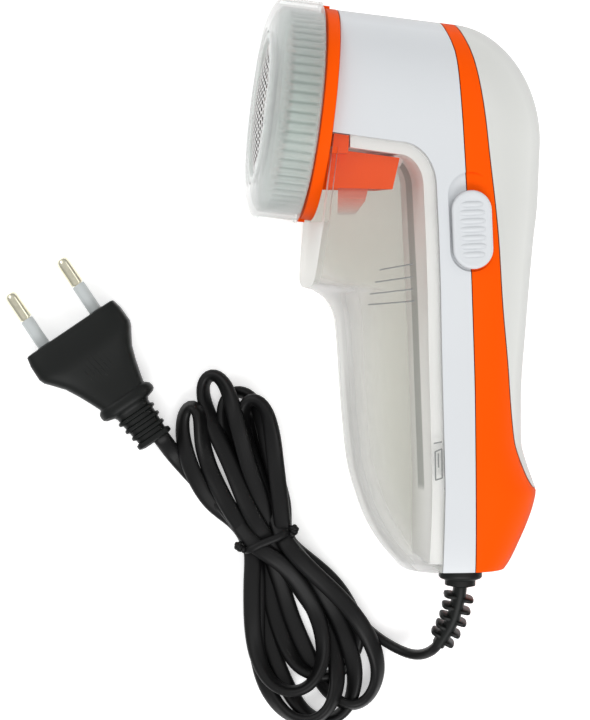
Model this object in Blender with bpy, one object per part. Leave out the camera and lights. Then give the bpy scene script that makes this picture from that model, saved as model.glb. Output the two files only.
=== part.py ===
"""Corded fabric shaver lying on its side, beside its tied mains lead and two-pin plug.

The shaver is modelled upright in its own plane, in millimetres scaled by MM: +Y runs from the tail to the
head, -X is the way the shaving net faces, and z = 0 is its plane of symmetry. The rest_pose empty then lays
it on its side, on the surface z = 0. The lead, the tie and the plug lie on that same surface.
"""

import math

import bmesh
import bpy
from mathutils import Matrix, Vector

MM = 0.001

# How the shaver lies: rolled until the guard's rim and the rear flank touch, and pitched until the tail does.
REST_ROLL = 5.94
REST_PITCH = 2.21
REST_SHIFT = (0.22, -0.44, 27.49)

# Head: its axis leans up from the body, and t is the distance along it from the collar's back plane.
HEAD_TILT = math.radians(6.75)
HEAD_X = -20.5
HEAD_Y = 51.2
ROUND_SIDES = 32

# Body skin.
DOME_X = 18.5
DOME_DEPTH = 25.0
HEAD_RISE = 31.2
BARREL_RADIUS = 30.1
FLANK_TAPER = 0.0036
BODY_BOTTOM = -83.5
BARREL_NOSE = -75.0
PRISM_DEPTH = 45.0
GAP = 0.3
SLIVER = 0.004

# Walls.
BOX_WALL = 1.8
LEDGE_INSET = 2.35
SHELL_WALL = 2.0
COVER_WALL = 1.6
LEDGE_DEPTH = 3.4
LEDGE_WALL = 1.6
LIP_SET_BACK = 0.8
LIP_TOP = 20.0

# Motor.
MOTOR_RADIUS = 10.2
MOTOR_FRONT = -9.0
MOTOR_BACK = -34.0
SHAFT_RADIUS = 1.0

# Slide switch on the upper flank.
BUTTON_X = 19.4
BUTTON_Y = 17.8
BUTTON_LEAN = math.radians(2.5)
BUTTON_LENGTH = 22.6
BUTTON_WIDTH = 11.5
BUTTON_TRAVEL = 4.4
BUTTON_RISE = 3.0

# Lead: a flat twin cord, lying on its wide face.
CORD_WIDTH = 5.2

# Plug.
PLUG_FACE = (-95.8, -11.5)
PLUG_HEADING = (-0.56, 0.828)
PLUG_MID_Z = 7.0
PIN_SPACING = 18.6
PIN_LENGTH = 19.0
PIN_SLEEVE = 9.6


def clear_scene():
    for obj in list(bpy.data.objects):
        bpy.data.objects.remove(obj, do_unlink=True)


def material(name, colour, roughness, metallic=0.0, transmission=0.0):
    made = bpy.data.materials.new(name)
    made.use_nodes = True
    shader = made.node_tree.nodes["Principled BSDF"]
    shader.inputs["Base Color"].default_value = (*colour, 1.0)
    shader.inputs["Roughness"].default_value = roughness
    shader.inputs["Metallic"].default_value = metallic
    shader.inputs["Transmission Weight"].default_value = transmission
    return made


def empty(name, matrix=None, parent=None):
    made = bpy.data.objects.new(name, None)
    bpy.context.scene.collection.objects.link(made)
    made.parent = parent
    if matrix is not None:
        made.matrix_basis = matrix
    return made


def finish_mesh(name, mesh, parent=None, finish=None):
    """Makes an object of a bmesh whose points are in millimetres."""
    bmesh.ops.remove_doubles(mesh, verts=mesh.verts, dist=1e-4)
    bmesh.ops.recalc_face_normals(mesh, faces=mesh.faces)
    bmesh.ops.scale(mesh, vec=(MM, MM, MM), verts=mesh.verts)
    data = bpy.data.meshes.new(name)
    mesh.to_mesh(data)
    mesh.free()
    data.shade_smooth()
    data.set_sharp_from_angle(angle=math.radians(35))
    made = bpy.data.objects.new(name, data)
    bpy.context.scene.collection.objects.link(made)
    made.parent = parent
    if finish:
        data.materials.append(finish)
    return made


def loft(name, rings, parent=None, finish=None):
    """A closed body through rings of points, with flat ends."""
    mesh = bmesh.new()
    rows = [[mesh.verts.new(point) for point in ring] for ring in rings]
    for low, high in zip(rows, rows[1:]):
        for i in range(len(low)):
            j = (i + 1) % len(low)
            mesh.faces.new((low[i], low[j], high[j], high[i]))
    mesh.faces.new(rows[0])
    mesh.faces.new(rows[-1])
    return finish_mesh(name, mesh, parent, finish)


def turned(name, profile, parent=None, finish=None, sides=ROUND_SIDES, arc=360.0, start=0.0):
    """Spins a closed profile of (radius, t) points about the local Z axis."""
    mesh = bmesh.new()
    turn = Matrix.Rotation(math.radians(start), 3, "Z")
    verts = [mesh.verts.new(turn @ Vector((radius, 0.0, t))) for radius, t in profile]
    face = mesh.faces.new(verts)
    if arc < 360.0:
        bmesh.ops.spin(mesh, geom=[face], axis=(0, 0, 1), cent=(0, 0, 0), steps=sides,
                       angle=math.radians(arc))
        return finish_mesh(name, mesh, parent, finish)
    edges = list(face.edges)
    bmesh.ops.delete(mesh, geom=[face], context="FACES_ONLY")
    bmesh.ops.spin(mesh, geom=edges, axis=(0, 0, 1), cent=(0, 0, 0), steps=sides, angle=math.tau)
    bmesh.ops.remove_doubles(mesh, verts=mesh.verts, dist=1e-3)
    on_axis = [edge for edge in mesh.edges if not edge.link_faces]
    bmesh.ops.delete(mesh, geom=on_axis, context="EDGES")
    return finish_mesh(name, mesh, parent, finish)


def prism(name, outline, low=-PRISM_DEPTH, high=PRISM_DEPTH, parent=None, finish=None):
    """Extrudes an XY outline from z = low to z = high."""
    mesh = bmesh.new()
    face = mesh.faces.new([mesh.verts.new((x, y, low)) for x, y in outline])
    grown = bmesh.ops.extrude_face_region(mesh, geom=[face])["geom"]
    tops = [item for item in grown if isinstance(item, bmesh.types.BMVert)]
    bmesh.ops.translate(mesh, vec=(0, 0, high - low), verts=tops)
    return finish_mesh(name, mesh, parent, finish)


def block(name, low, high, parent=None, finish=None):
    outline = [(low[0], low[1]), (high[0], low[1]), (high[0], high[1]), (low[0], high[1])]
    return prism(name, outline, low[2], high[2], parent, finish)


def rod(name, start, end, radius, parent=None, finish=None, sides=12):
    """A straight round bar between two points."""
    axis = Vector(end) - Vector(start)
    turn = axis.to_track_quat("Z", "Y").to_matrix()
    rings = []
    for along in (0.0, axis.length):
        ring = []
        for i in range(sides):
            angle = math.tau * (i + 0.5) / sides
            local = Vector((radius * math.cos(angle), radius * math.sin(angle), along))
            ring.append(Vector(start) + turn @ local)
        rings.append(ring)
    return loft(name, rings, parent, finish)


def combine(target, operation, other, solver="EXACT"):
    """Applies a Boolean with another object, and removes that object."""
    step = target.modifiers.new(operation.lower(), "BOOLEAN")
    step.operation = operation
    step.solver = solver
    step.object = other
    bpy.context.view_layer.update()
    graph = bpy.context.evaluated_depsgraph_get()
    result = bpy.data.meshes.new_from_object(target.evaluated_get(graph))
    target.modifiers.clear()
    mesh = bmesh.new()
    mesh.from_mesh(result)
    bmesh.ops.remove_doubles(mesh, verts=mesh.verts, dist=SLIVER * MM)
    bmesh.ops.dissolve_degenerate(mesh, edges=mesh.edges, dist=SLIVER * MM)
    mesh.to_mesh(result)
    mesh.free()
    target.data = result
    bpy.data.objects.remove(other, do_unlink=True)
    return target


def both(first, second):
    return combine(first, "INTERSECT", second)


def join(first, second):
    return combine(first, "UNION", second)


def cut(first, second):
    return combine(first, "DIFFERENCE", second)


def coat(obj, parent, finish):
    """Gives a body made by Booleans its parent and its one material."""
    obj.parent = parent
    obj.data.materials.clear()
    obj.data.materials.append(finish)
    obj.data.shade_smooth()
    obj.data.set_sharp_from_angle(angle=math.radians(35))
    return obj


def smooth_step(value, low, high):
    share = min(max((value - low) / (high - low), 0.0), 1.0)
    return share * share * (3.0 - 2.0 * share)


def curve_through(keys, at):
    """A smooth value at one place of a list of (place, value) keys in rising order."""
    places = [key[0] for key in keys]
    values = [key[1] for key in keys]
    if at <= places[0]:
        return values[0]
    if at >= places[-1]:
        return values[-1]
    i = max(k for k in range(len(keys) - 1) if places[k] <= at)
    steps = [(values[k + 1] - values[k]) / (places[k + 1] - places[k]) for k in range(len(keys) - 1)]
    slopes = []
    for k in range(len(keys)):
        before = steps[max(k - 1, 0)]
        after = steps[min(k, len(steps) - 1)]
        level = before * after <= 0.0
        slopes.append(0.0 if level else 2.0 * before * after / (before + after))
    width = places[i + 1] - places[i]
    s = (at - places[i]) / width
    return (
        (2 * s**3 - 3 * s**2 + 1) * values[i]
        + (s**3 - 2 * s**2 + s) * width * slopes[i]
        + (3 * s**2 - 2 * s**3) * values[i + 1]
        + (s**3 - s**2) * width * slopes[i + 1]
    )


# Body skin, by height: the front edge, the back edge, the half width and the roundness of front and back.
FRONT_EDGE = [(-83.5, 9.0), (-82.3, 6.0), (-79.4, 1.2), (-73.5, -4.1), (-67.6, -7.6), (-61.8, -10.0),
              (-50.0, -13.2), (-32.4, -15.0), (-8.8, -16.8), (-5.9, -17.6), (-2.9, -19.4), (0.0, -23.2),
              (1.5, -28.5), (3.0, -31.8), (6.0, -34.5), (19.0, -43.0), (26.0, -75.0)]
BACK_EDGE = [(-83.5, 31.0), (-79.4, 34.1), (-73.5, 37.1), (-67.6, 39.7), (-61.8, 41.6), (-58.8, 42.1),
             (-55.9, 41.2), (-50.0, 39.1), (-44.1, 37.7), (-32.4, 37.6), (-8.8, 39.1), (14.7, 41.0),
             (30.0, 42.5), (51.2, 43.5)]
HALF_WIDTH = [(-83.5, 19.5), (-82.3, 21.3), (-79.4, 22.4), (-70.0, 23.4), (-50.0, 24.0), (-20.0, 24.6),
              (0.0, 26.2), (19.0, 28.2), (35.0, 29.4), (51.2, 30.1)]
FRONT_ROUND = [(-83.5, 10.0), (-70.0, 19.0), (-20.0, 20.0), (0.0, 24.0), (26.0, 26.0)]
BACK_ROUND = [(-83.5, 13.0), (-70.0, 18.0), (-20.0, 19.0), (51.2, 25.0)]
QUARTER_STEPS = 5
SKIN_LEVELS = [-82.3, -79.4, -74.0, -67.6, -61.8, -58.8, -55.0, -50.0, -44.1, -32.4, -20.0, -8.8, -5.9,
               -2.9, -1.0, 0.6, 2.2, 4.5, 9.0, 15.0, 20.0, 26.0, 36.0, 51.2]
DOME_ANGLES = [16.0, 31.0, 45.0, 57.0, 67.0, 76.0, 83.0, 88.0]


def skin_section(level, inset):
    """One slice of the body's outside, or of the same skin set in by a wall."""
    if level > HEAD_Y:
        rise = min((level - HEAD_Y) / (HEAD_RISE - inset), 0.9999)
        swell = math.sqrt(1.0 - rise * rise)
        half = (BARREL_RADIUS - inset) * swell
        back_round = (DOME_DEPTH - inset) * swell
        back = DOME_X + back_round
    else:
        half = curve_through(HALF_WIDTH, level) - inset
        back = curve_through(BACK_EDGE, level) - inset
        back_round = curve_through(BACK_ROUND, level) - inset
    front = curve_through(FRONT_EDGE, level) + inset
    front_round = curve_through(FRONT_ROUND, level) - inset
    headness = smooth_step(level, 0.0, 50.0)
    power = 2.0 / (2.35 - 0.35 * headness)
    upper = []
    for i in range(QUARTER_STEPS + 1):
        angle = math.pi / 2 * i / QUARTER_STEPS
        x = front + front_round - front_round * math.cos(angle) ** power
        upper.append((x, half * math.sin(angle) ** power))
    for i in range(QUARTER_STEPS + 1):
        angle = math.pi / 2 * (1.0 - i / QUARTER_STEPS)
        x = back - back_round + back_round * math.cos(angle) ** power
        upper.append((x, half * math.sin(angle) ** power))
    ring = upper + [(x, -z) for x, z in reversed(upper[1:-1])]
    lean = math.tan(HEAD_TILT) * headness
    section = []
    for x, z in ring:
        taper = 1.0 - FLANK_TAPER * max(x - HEAD_X, 0.0) * (0.25 + 0.75 * headness)
        section.append((x, level - lean * (x - HEAD_X), z * taper))
    return section


def skin(inset=0.0):
    """The whole body as one solid, set in by a wall all over."""
    bottom = BODY_BOTTOM + inset
    levels = [bottom] + [level for level in SKIN_LEVELS if level > bottom + 0.4]
    for angle in DOME_ANGLES:
        levels.append(HEAD_Y + (HEAD_RISE - inset) * math.sin(math.radians(angle)))
    return loft("skin", [skin_section(level, inset) for level in levels])


def collar_plane(y, set_back=0.0):
    """The x of the collar's back plane at one height."""
    return HEAD_X + math.tan(HEAD_TILT) * (y - HEAD_Y) + set_back


def box_seam(offset):
    """The line between lint box and body: back from the collar, round the corner and down to the tail."""
    points = [(-60.0, 50.6 + offset), (-1.5, 42.8 + offset)]
    for i in range(1, 6):
        angle = math.radians(90.0 - 18.0 * i)
        points.append((-1.5 + (10.6 + offset) * math.cos(angle), 30.0 + (12.8 + offset) * math.sin(angle)))
    points += [(10.5 + offset, 0.0), (12.3 + offset, -57.0), (11.6 + offset, -95.0)]
    return points


# The two lines down each flank, as (height, x): between the shells, and between the band and the back cover.
PARTING_LINE = [(-95.0, 22.8), (-32.4, 22.4), (5.9, 20.6), (36.8, 18.5), (54.4, 17.1), (67.6, 16.4),
                (78.0, 14.0), (95.0, 10.0)]
COVER_LINE = [(-59.6, 46.0), (-57.5, 40.0), (-51.5, 36.4), (-42.6, 33.4), (-20.6, 31.0), (-2.9, 28.9),
              (19.1, 27.1), (41.2, 24.6), (58.8, 22.4), (67.6, 20.9), (78.0, 17.6), (95.0, 12.0)]
LINE_HEIGHTS = [-95.0, -60.0, -32.4, -10.0, 6.0, 22.0, 37.0, 54.0, 61.0, 68.0, 73.0, 78.0, 95.0]
COVER_HEIGHTS = [-59.6, -57.5, -54.0, -51.5, -42.6, -32.0, -20.6, -2.9, 19.1, 41.2, 58.8, 67.6, 73.0, 78.0,
                 95.0]


def parting(offset):
    return [(curve_through(PARTING_LINE, y) + offset, y) for y in LINE_HEIGHTS]


def cover_line(offset):
    return [(curve_through(COVER_LINE, y) + offset, y) for y in COVER_HEIGHTS]


def right_of_seam(offset, right):
    """The region above and behind the box seam, up to a right-hand line given from the bottom up."""
    return prism("region", box_seam(offset)[::-1] + [(-60.0, 95.0)] + right[::-1])


def front_of_collar():
    """Everything ahead of the collar's back plane."""
    low = (collar_plane(-95.0, GAP), -95.0)
    high = (collar_plane(95.0, GAP), 95.0)
    return prism("ahead", [(-120.0, -95.0), low, high, (-120.0, 95.0)])


def head_point(t, up=0.0):
    """A point of the plane of symmetry at t along the head's axis and up across it."""
    return (HEAD_X - math.cos(HEAD_TILT) * t + math.sin(HEAD_TILT) * up,
            HEAD_Y + math.sin(HEAD_TILT) * t + math.cos(HEAD_TILT) * up, 0.0)


# Casing screws, as (height, z), and where each one's head and tip are by its height.
BOSSES = [(69.0, 9.5), (69.0, -9.5), (-68.0, 14.0), (-68.0, -14.0)]
SCREW_HEAD_X = {69.0: 18.0, -68.0: 29.0}
SCREW_TIP_X = {69.0: 4.0, -68.0: 14.5}
SLOT_LENGTH = 12.5
RELIEF_X = 20.3
RELIEF_HOLE = 4.0


def button_point(x, y):
    """A point of the switch's own plane, turned to its lean."""
    turned_x = x * math.cos(BUTTON_LEAN) - y * math.sin(BUTTON_LEAN)
    turned_y = x * math.sin(BUTTON_LEAN) + y * math.cos(BUTTON_LEAN)
    return (BUTTON_X + turned_x, BUTTON_Y + turned_y)


def stadium(width, length, centre_y=0.0, steps=6):
    """A slot outline in the switch's plane."""
    points = []
    radius = width / 2
    reach = length / 2 - radius
    for end, start in ((1, 0.0), (-1, 180.0)):
        for i in range(steps + 1):
            angle = math.radians(start + 180.0 * i / steps)
            x = radius * math.cos(angle)
            y = centre_y + end * reach + radius * math.sin(angle)
            points.append(button_point(x, y))
    return points


def recess_cutters():
    """The switch's recess in the upper flank, and the slot in its floor."""
    recess = prism("recess", stadium(13.0, BUTTON_LENGTH + BUTTON_TRAVEL + 1.6, BUTTON_TRAVEL / 2), 25.1)
    slot = prism("slot", stadium(4.4, SLOT_LENGTH, BUTTON_TRAVEL / 2, 4), 12.0)
    return recess, slot


def boss_rib(y, z, low_x, high_x, inset):
    """A web that ties a screw boss to the wall above or below it."""
    reach = math.copysign(16.0, y)
    ends = sorted((y, y + reach))
    return both(block("rib", (low_x, ends[0], z - 0.7), (high_x, ends[1], z + 0.7)), skin(inset))


def outlet_cutter():
    """The round hole in the tail that the strain relief sits in."""
    inside = (RELIEF_X, BODY_BOTTOM + 12.0, 0.0)
    outside = (RELIEF_X, BODY_BOTTOM - 5.0, 0.0)
    return rod("outlet", inside, outside, RELIEF_HOLE, sides=14)


def make_front_shell(pose, white):
    shell = cut(both(skin(), right_of_seam(GAP / 2, parting(-GAP / 2))), front_of_collar())
    strip = box_seam(-LEDGE_DEPTH)[::-1] + box_seam(1.2)
    ledge = cut(both(skin(LEDGE_INSET), prism("strip", strip)), front_of_collar())
    shell = join(shell, ledge)
    sleeve = rod("sleeve", head_point(-2.7), head_point(-24.0), MOTOR_RADIUS + 2.2, sides=20)
    ahead = right_of_seam(-LEDGE_DEPTH + LEDGE_WALL, [(60.0, -95.0), (60.0, 95.0)])
    cavity = both(skin(LEDGE_INSET + LEDGE_WALL), ahead)
    shell = cut(shell, cavity)
    cavity = both(skin(SHELL_WALL), right_of_seam(1.6, [(60.0, -95.0), (60.0, 95.0)]))
    shell = cut(shell, cavity)
    shell = combine(shell, "DIFFERENCE", outlet_cutter(), "MANIFOLD")
    shell = join(shell, sleeve)
    shell = cut(shell, rod("bore", head_point(4.0), head_point(-46.0), MOTOR_RADIUS + 0.6, sides=20))
    for y, z in BOSSES:
        end = curve_through(PARTING_LINE, y + 3.6) - GAP
        shell = join(shell, rod("boss", (SCREW_TIP_X[y] - 1.5, y, z), (end, y, z), 3.3, sides=10))
        shell = join(shell, boss_rib(y, z, SCREW_TIP_X[y] - 1.0, end - 2.0, 1.0))
        shell = cut(shell, rod("hole", (SCREW_TIP_X[y] - 0.4, y, z), (60.0, y, z), 1.5, sides=8))
    for cutter in recess_cutters():
        shell = cut(shell, cutter)
    shell.name = "front_shell"
    return coat(shell, pose, white)


def make_rear_shell(pose, orange):
    behind = prism("behind", parting(1.0) + [(60.0, 95.0), (60.0, -95.0)])
    core = both(skin(COVER_WALL + GAP), behind)
    band_outline = parting(GAP / 2) + cover_line(-GAP / 2)[::-1] + [(60.0, -59.6), (60.0, -95.0)]
    shell = join(core, both(skin(), prism("band", band_outline)))
    cavity = both(skin(COVER_WALL + GAP + 1.7), prism("room", parting(-2.0) + [(60.0, 95.0), (60.0, -95.0)]))
    shell = cut(shell, cavity)
    for y, z in BOSSES:
        start = curve_through(PARTING_LINE, y - 3.9) + GAP
        boss = rod("boss", (start, y, z), (SCREW_HEAD_X[y] + 4.0, y, z), 3.6, sides=10)
        shell = join(shell, both(boss, skin(COVER_WALL + GAP)))
        shell = join(shell, boss_rib(y, z, start + 0.3, SCREW_HEAD_X[y] + 3.0, COVER_WALL + GAP + 0.3))
        shell = cut(shell, rod("hole", (0.0, y, z), (60.0, y, z), 1.7, sides=8))
        shell = cut(shell, rod("well", (SCREW_HEAD_X[y], y, z), (60.0, y, z), 2.8, sides=10))
    for cutter in recess_cutters():
        shell = cut(shell, cutter)
    shell = cut(shell, outlet_cutter())
    shell.name = "rear_shell"
    return coat(shell, pose, orange)


def make_back_cover(pose, white):
    behind = prism("behind", cover_line(GAP / 2) + [(70.0, 95.0), (70.0, -59.6)])
    cover = cut(both(skin(), behind), skin(COVER_WALL))
    cover.name = "back_cover"
    return coat(cover, pose, white)


def make_lint_box(pose, clear):
    """The clear box: a wall all round, and a front lip that stands behind the collar."""
    seam = [point for point in box_seam(-GAP / 2) if point[0] > -20.0]
    top = (collar_plane(45.2, LIP_SET_BACK), 45.4 - GAP / 2)
    outline = [(collar_plane(-95.0, LIP_SET_BACK), -95.0), top] + seam
    box = both(skin(), prism("box_region", outline))
    inner = LIP_SET_BACK + BOX_WALL
    room = [(collar_plane(-95.0, inner), -95.0), (collar_plane(LIP_TOP, inner), LIP_TOP), (-90.0, LIP_TOP),
            (-90.0, 70.0), (70.0, 70.0), (70.0, -95.0)]
    box = cut(box, both(skin(BOX_WALL), prism("room", room)))
    box.name = "lint_box"
    return coat(box, pose, clear)


def make_lint_chute(pose, orange):
    """An open channel that leads the lint from the cutter into the box."""
    side = [(collar_plane(41.0, 0.9), 41.0), (0.3, 38.6), (0.3, 30.2), (-9.4, 29.7), (-9.9, 23.4),
            (collar_plane(23.4, 3.2), 23.4), (collar_plane(30.0, 0.9), 30.0)]
    chute = prism("lint_chute", side, -20.0, 20.0)
    room = [(-40.0, 50.0), (-1.4, 50.0), (-1.4, 29.0), (-11.2, 29.0), (-11.2, 10.0), (-40.0, 10.0)]
    chute = cut(chute, prism("room", room, -18.4, 18.4))
    chute = cut(chute, rod("sleeve_room", head_point(2.0), head_point(-30.0), MOTOR_RADIUS + 2.6, sides=20))
    return coat(chute, pose, orange)


def make_head(head, finishes):
    """The collar, the net and the guard, turned about the head's axis."""
    collar = [(25.4, 0.0), (31.0, 0.0), (31.0, 3.5), (27.1, 3.5), (27.1, 12.0), (25.4, 12.0)]
    turned("head_collar", collar, head, finishes["orange"], 36)
    guard = [(30.2, 4.4), (32.2, 4.4), (32.2, 16.4), (31.4, 17.5), (29.5, 18.5), (26.7, 19.4), (22.6, 19.4),
             (22.6, 18.0), (26.0, 17.9), (28.4, 17.1), (30.2, 15.6)]
    turned("distance_guard", guard, head, finishes["clear"], 36)
    ring = [(27.4, 3.9), (29.6, 3.9), (29.6, 14.2), (28.2, 15.7), (22.1, 16.4), (22.1, 18.9), (20.3, 18.9),
            (20.3, 15.0), (26.4, 14.4), (27.4, 13.2)]
    turned("net_ring", ring, head, finishes["clear"], 36)
    turned("shaving_net", [(0.0, 19.2), (0.0, 18.8), (10.0, 18.6), (19.9, 18.0), (19.9, 18.5), (10.0, 19.0)],
           head, finishes["steel"])
    turned("net_clamp", [(18.4, 16.2), (19.9, 16.2), (19.9, 17.6), (18.4, 17.6)], head, finishes["black"])


def make_bulkhead(head, finishes):
    """The chamber floor behind the cutter, with the motor's two screws in it."""
    plate = turned("chamber_floor", [(2.6, -2.3), (25.8, -2.3), (25.8, -0.6), (2.6, -0.6)], None, None)
    plate = cut(plate, block("below", (-40.0, -40.0, -10.0), (-4.0, 40.0, 10.0)))
    for side in (-1, 1):
        plate = cut(plate, rod("hole", (0.0, 6.5 * side, -10.0), (0.0, 6.5 * side, 5.0), 1.2, sides=8))
    coat(plate, head, finishes["orange"])
    for number, side in enumerate((-1, 1), 1):
        screw = [(0.0, -10.6), (0.85, -10.6), (0.85, -0.3), (2.1, -0.3), (2.1, 0.9), (0.0, 0.9)]
        made = turned(f"motor_screw_{number}", screw, head, finishes["steel"], 10)
        made.location = (0.0, 6.5 * side * MM, 0.0)


def make_cutter(spin, finishes):
    """The spinning cutter: a hub with three arms, a blade on each arm, and the spring behind it."""
    hub = turned("cutter_hub", [(1.4, 9.0), (4.6, 9.0), (4.6, 15.8), (1.4, 15.8)], None, None, 16)
    for arm in range(3):
        turn = Matrix.Rotation(math.tau * arm / 3, 4, "Z")
        bar = block("arm", (3.0, -1.6, 10.0), (17.0, 1.6, 12.6))
        bar.data.transform(turn)
        hub = join(hub, bar)
    coat(hub, spin, finishes["grey"])
    edge = [(5.2, 12.9), (17.4, 12.9), (17.8, 16.0), (17.8, 17.4), (5.2, 17.9)]
    for arm in range(3):
        turn = Matrix.Rotation(math.tau * arm / 3, 4, "Z")
        blade = prism(f"cutter_blade_{arm + 1}", edge, -0.25, 0.25, spin, finishes["steel"])
        lay = Matrix(((1, 0, 0, 0), (0, 0, 1, 0), (0, 1, 0, 0), (0, 0, 0, 1)))
        blade.data.transform(turn @ lay)
        blade.data.flip_normals()
    turned("shaft_collar", [(1.2, 3.6), (3.4, 3.6), (3.4, 4.6), (1.2, 4.6)], spin, finishes["black"], 12)
    turned("motor_shaft", [(0.0, -37.0), (SHAFT_RADIUS, -37.0), (SHAFT_RADIUS, 14.5), (0.0, 14.5)], spin,
           finishes["steel"], 12)
    make_spring(spin, finishes["steel"])


def make_spring(spin, steel):
    turns = 3.0
    per_turn = 10
    wire = bpy.data.curves.new("cutter_spring", "CURVE")
    wire.dimensions = "3D"
    wire.bevel_depth = 0.3 * MM
    wire.bevel_resolution = 1
    wire.use_fill_caps = True
    spline = wire.splines.new("POLY")
    count = int(turns * per_turn)
    spline.points.add(count)
    for i in range(count + 1):
        angle = math.tau * i / per_turn
        height = 5.2 + 3.2 * i / count
        spline.points[i].co = (2.6 * math.cos(angle) * MM, 2.6 * math.sin(angle) * MM, height * MM, 1.0)
    made = bpy.data.objects.new("cutter_spring", wire)
    bpy.context.scene.collection.objects.link(made)
    made.parent = spin
    wire.materials.append(steel)


def make_motor(head, spin, finishes):
    front = MOTOR_FRONT
    back = MOTOR_BACK
    can = [(3.4, front), (MOTOR_RADIUS, front), (MOTOR_RADIUS, back), (MOTOR_RADIUS - 0.8, back),
           (MOTOR_RADIUS - 0.8, front - 0.9), (3.4, front - 0.9)]
    body = turned("motor_can", can, None, None, 28)
    for side in (-1, 1):
        body = cut(body, rod("hole", (0.0, 6.5 * side, -20.0), (0.0, 6.5 * side, 0.0), 1.15, sides=8))
    coat(body, head, finishes["steel"])
    for number, start in enumerate((-60.0, 120.0), 1):
        magnet = [(6.9, front - 3.0), (9.1, front - 3.0), (9.1, back + 5.0), (6.9, back + 5.0)]
        turned(f"motor_magnet_{number}", magnet, head, finishes["black"], 8, 120.0, start)
    bushing = [(1.05, front - 2.0), (3.1, front - 2.0), (3.1, front + 0.8), (1.05, front + 0.8)]
    turned("front_bushing", bushing, head, finishes["brass"], 14)
    cap = [(2.9, back + 1.2), (9.1, back + 1.2), (9.1, back - 0.3), (MOTOR_RADIUS, back - 0.3),
           (MOTOR_RADIUS, back - 1.6), (2.9, back - 1.6)]
    turned("motor_end_cap", cap, head, finishes["grey"], 24)
    bushing = [(1.05, back - 2.2), (2.6, back - 2.2), (2.6, back + 1.0), (1.05, back + 1.0)]
    turned("rear_bushing", bushing, head, finishes["brass"], 14)
    outline = []
    for pole in range(3):
        for turn, radius in ((-48, 6.3), (-24, 6.5), (0, 6.55), (24, 6.5), (48, 6.3), (50, 5.4), (60, 2.8)):
            angle = math.radians(pole * 120 + turn)
            outline.append((radius * math.cos(angle), radius * math.sin(angle)))
    core = prism("armature_core", outline, back + 8.5, front - 5.0)
    core = cut(core, rod("bore", (0, 0, -60.0), (0, 0, 10.0), SHAFT_RADIUS + 0.3, sides=12))
    coat(core, spin, finishes["steel"])
    winding = [(1.5, front - 4.7), (5.6, front - 4.7), (5.0, front - 2.6), (1.5, front - 2.6)]
    turned("winding_front", winding, spin, finishes["copper"], 14)
    winding = [(3.2, back + 6.0), (5.4, back + 6.0), (5.8, back + 8.2), (3.2, back + 8.2)]
    turned("winding_rear", winding, spin, finishes["copper"], 14)
    segments = [(1.3, back + 1.8), (2.8, back + 1.8), (2.8, back + 8.2), (1.3, back + 8.2)]
    turned("commutator", segments, spin, finishes["brass"], 12)


def make_switch(pose, slide, finishes):
    """The ridged button, its stem and slider, and the switch that they work."""
    plate = prism("switch_button", stadium(BUTTON_WIDTH, BUTTON_LENGTH, 0.0, 8), 25.5, 25.5 + BUTTON_RISE)
    stem_low = button_point(-1.6, -2.6)
    stem_high = button_point(1.6, 2.6)
    stem = block("stem", (stem_low[0], stem_low[1], 20.6), (stem_high[0], stem_high[1], 26.0))
    plate = join(plate, stem)
    for ridge in range(7):
        y = (ridge - 3) * 2.4
        low = button_point(-4.0, y - 0.55)
        high = button_point(4.0, y + 0.55)
        plate = join(plate, block("ridge", (low[0], low[1], 27.0), (high[0], high[1], 29.0)))
    coat(plate, slide, finishes["white"])
    low = button_point(-3.0, -4.0)
    high = button_point(3.0, 4.0)
    block("switch_slider", (low[0], low[1], 17.4), (high[0], high[1], 20.3), slide, finishes["black"])
    low = button_point(-4.2, -9.0)
    high = button_point(4.2, 13.0)
    body = block("slide_switch", (low[0], low[1], 11.5), (high[0], high[1], 19.6))
    low = button_point(-3.4, -4.6)
    high = button_point(3.4, 4.6 + BUTTON_TRAVEL)
    body = cut(body, block("well", (low[0], low[1], 17.0), (high[0], high[1], 30.0)))
    coat(body, pose, finishes["black"])


def make_electrics(pose, finishes):
    """The board in the handle, its components, the wires and the clamp that holds the lead."""
    block("circuit_board", (16.0, -50.0, -13.0), (17.6, -6.0, 13.0), pose, finishes["board"])
    block("film_capacitor", (17.9, -24.0, -9.0), (28.0, -9.0, 0.0), pose, finishes["red"])
    rod("smoothing_capacitor", (17.9, -32.5, 5.0), (31.0, -32.5, 5.0), 5.0, pose, finishes["black"], 16)
    block("bridge_rectifier", (17.9, -46.5, -10.0), (22.0, -38.5, -2.0), pose, finishes["black"])
    rod("dropper_resistor", (19.8, -18.0, 8.0), (19.8, -9.0, 8.0), 1.7, pose, finishes["tan"], 10)
    clamp = block("cord_clamp", (22.8, -75.2, -9.5), (25.0, -69.2, 9.5))
    coat(clamp, pose, finishes["grey"])
    wires = {
        "live_wire": [(27.8, -71.5, 1.6), (27.0, -64.0, 4.0), (24.0, -56.0, 5.5), (20.0, -51.5, 6.0)],
        "neutral_wire": [(26.2, -71.5, -1.6), (25.5, -64.0, -4.0), (23.5, -56.0, -5.5), (20.0, -51.5, -6.0)],
        "switch_wire": [(20.0, -5.0, 5.5), (21.5, -1.0, 10.0), (21.0, 4.0, 14.0), (20.2, 8.2, 15.5)],
        "motor_wire_1": [(20.0, -5.0, -4.0), (27.0, 6.0, -8.0), (30.0, 24.0, -9.0), (24.0, 38.0, -5.6)],
        "motor_wire_2": [(20.0, -5.0, -8.5), (29.0, 10.0, -14.0), (32.0, 30.0, -11.0), (24.5, 50.0, -6.2)],
    }
    for name, route in wires.items():
        tube(name, route, 0.7, 5, pose, finishes["wire"], 1)


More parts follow.
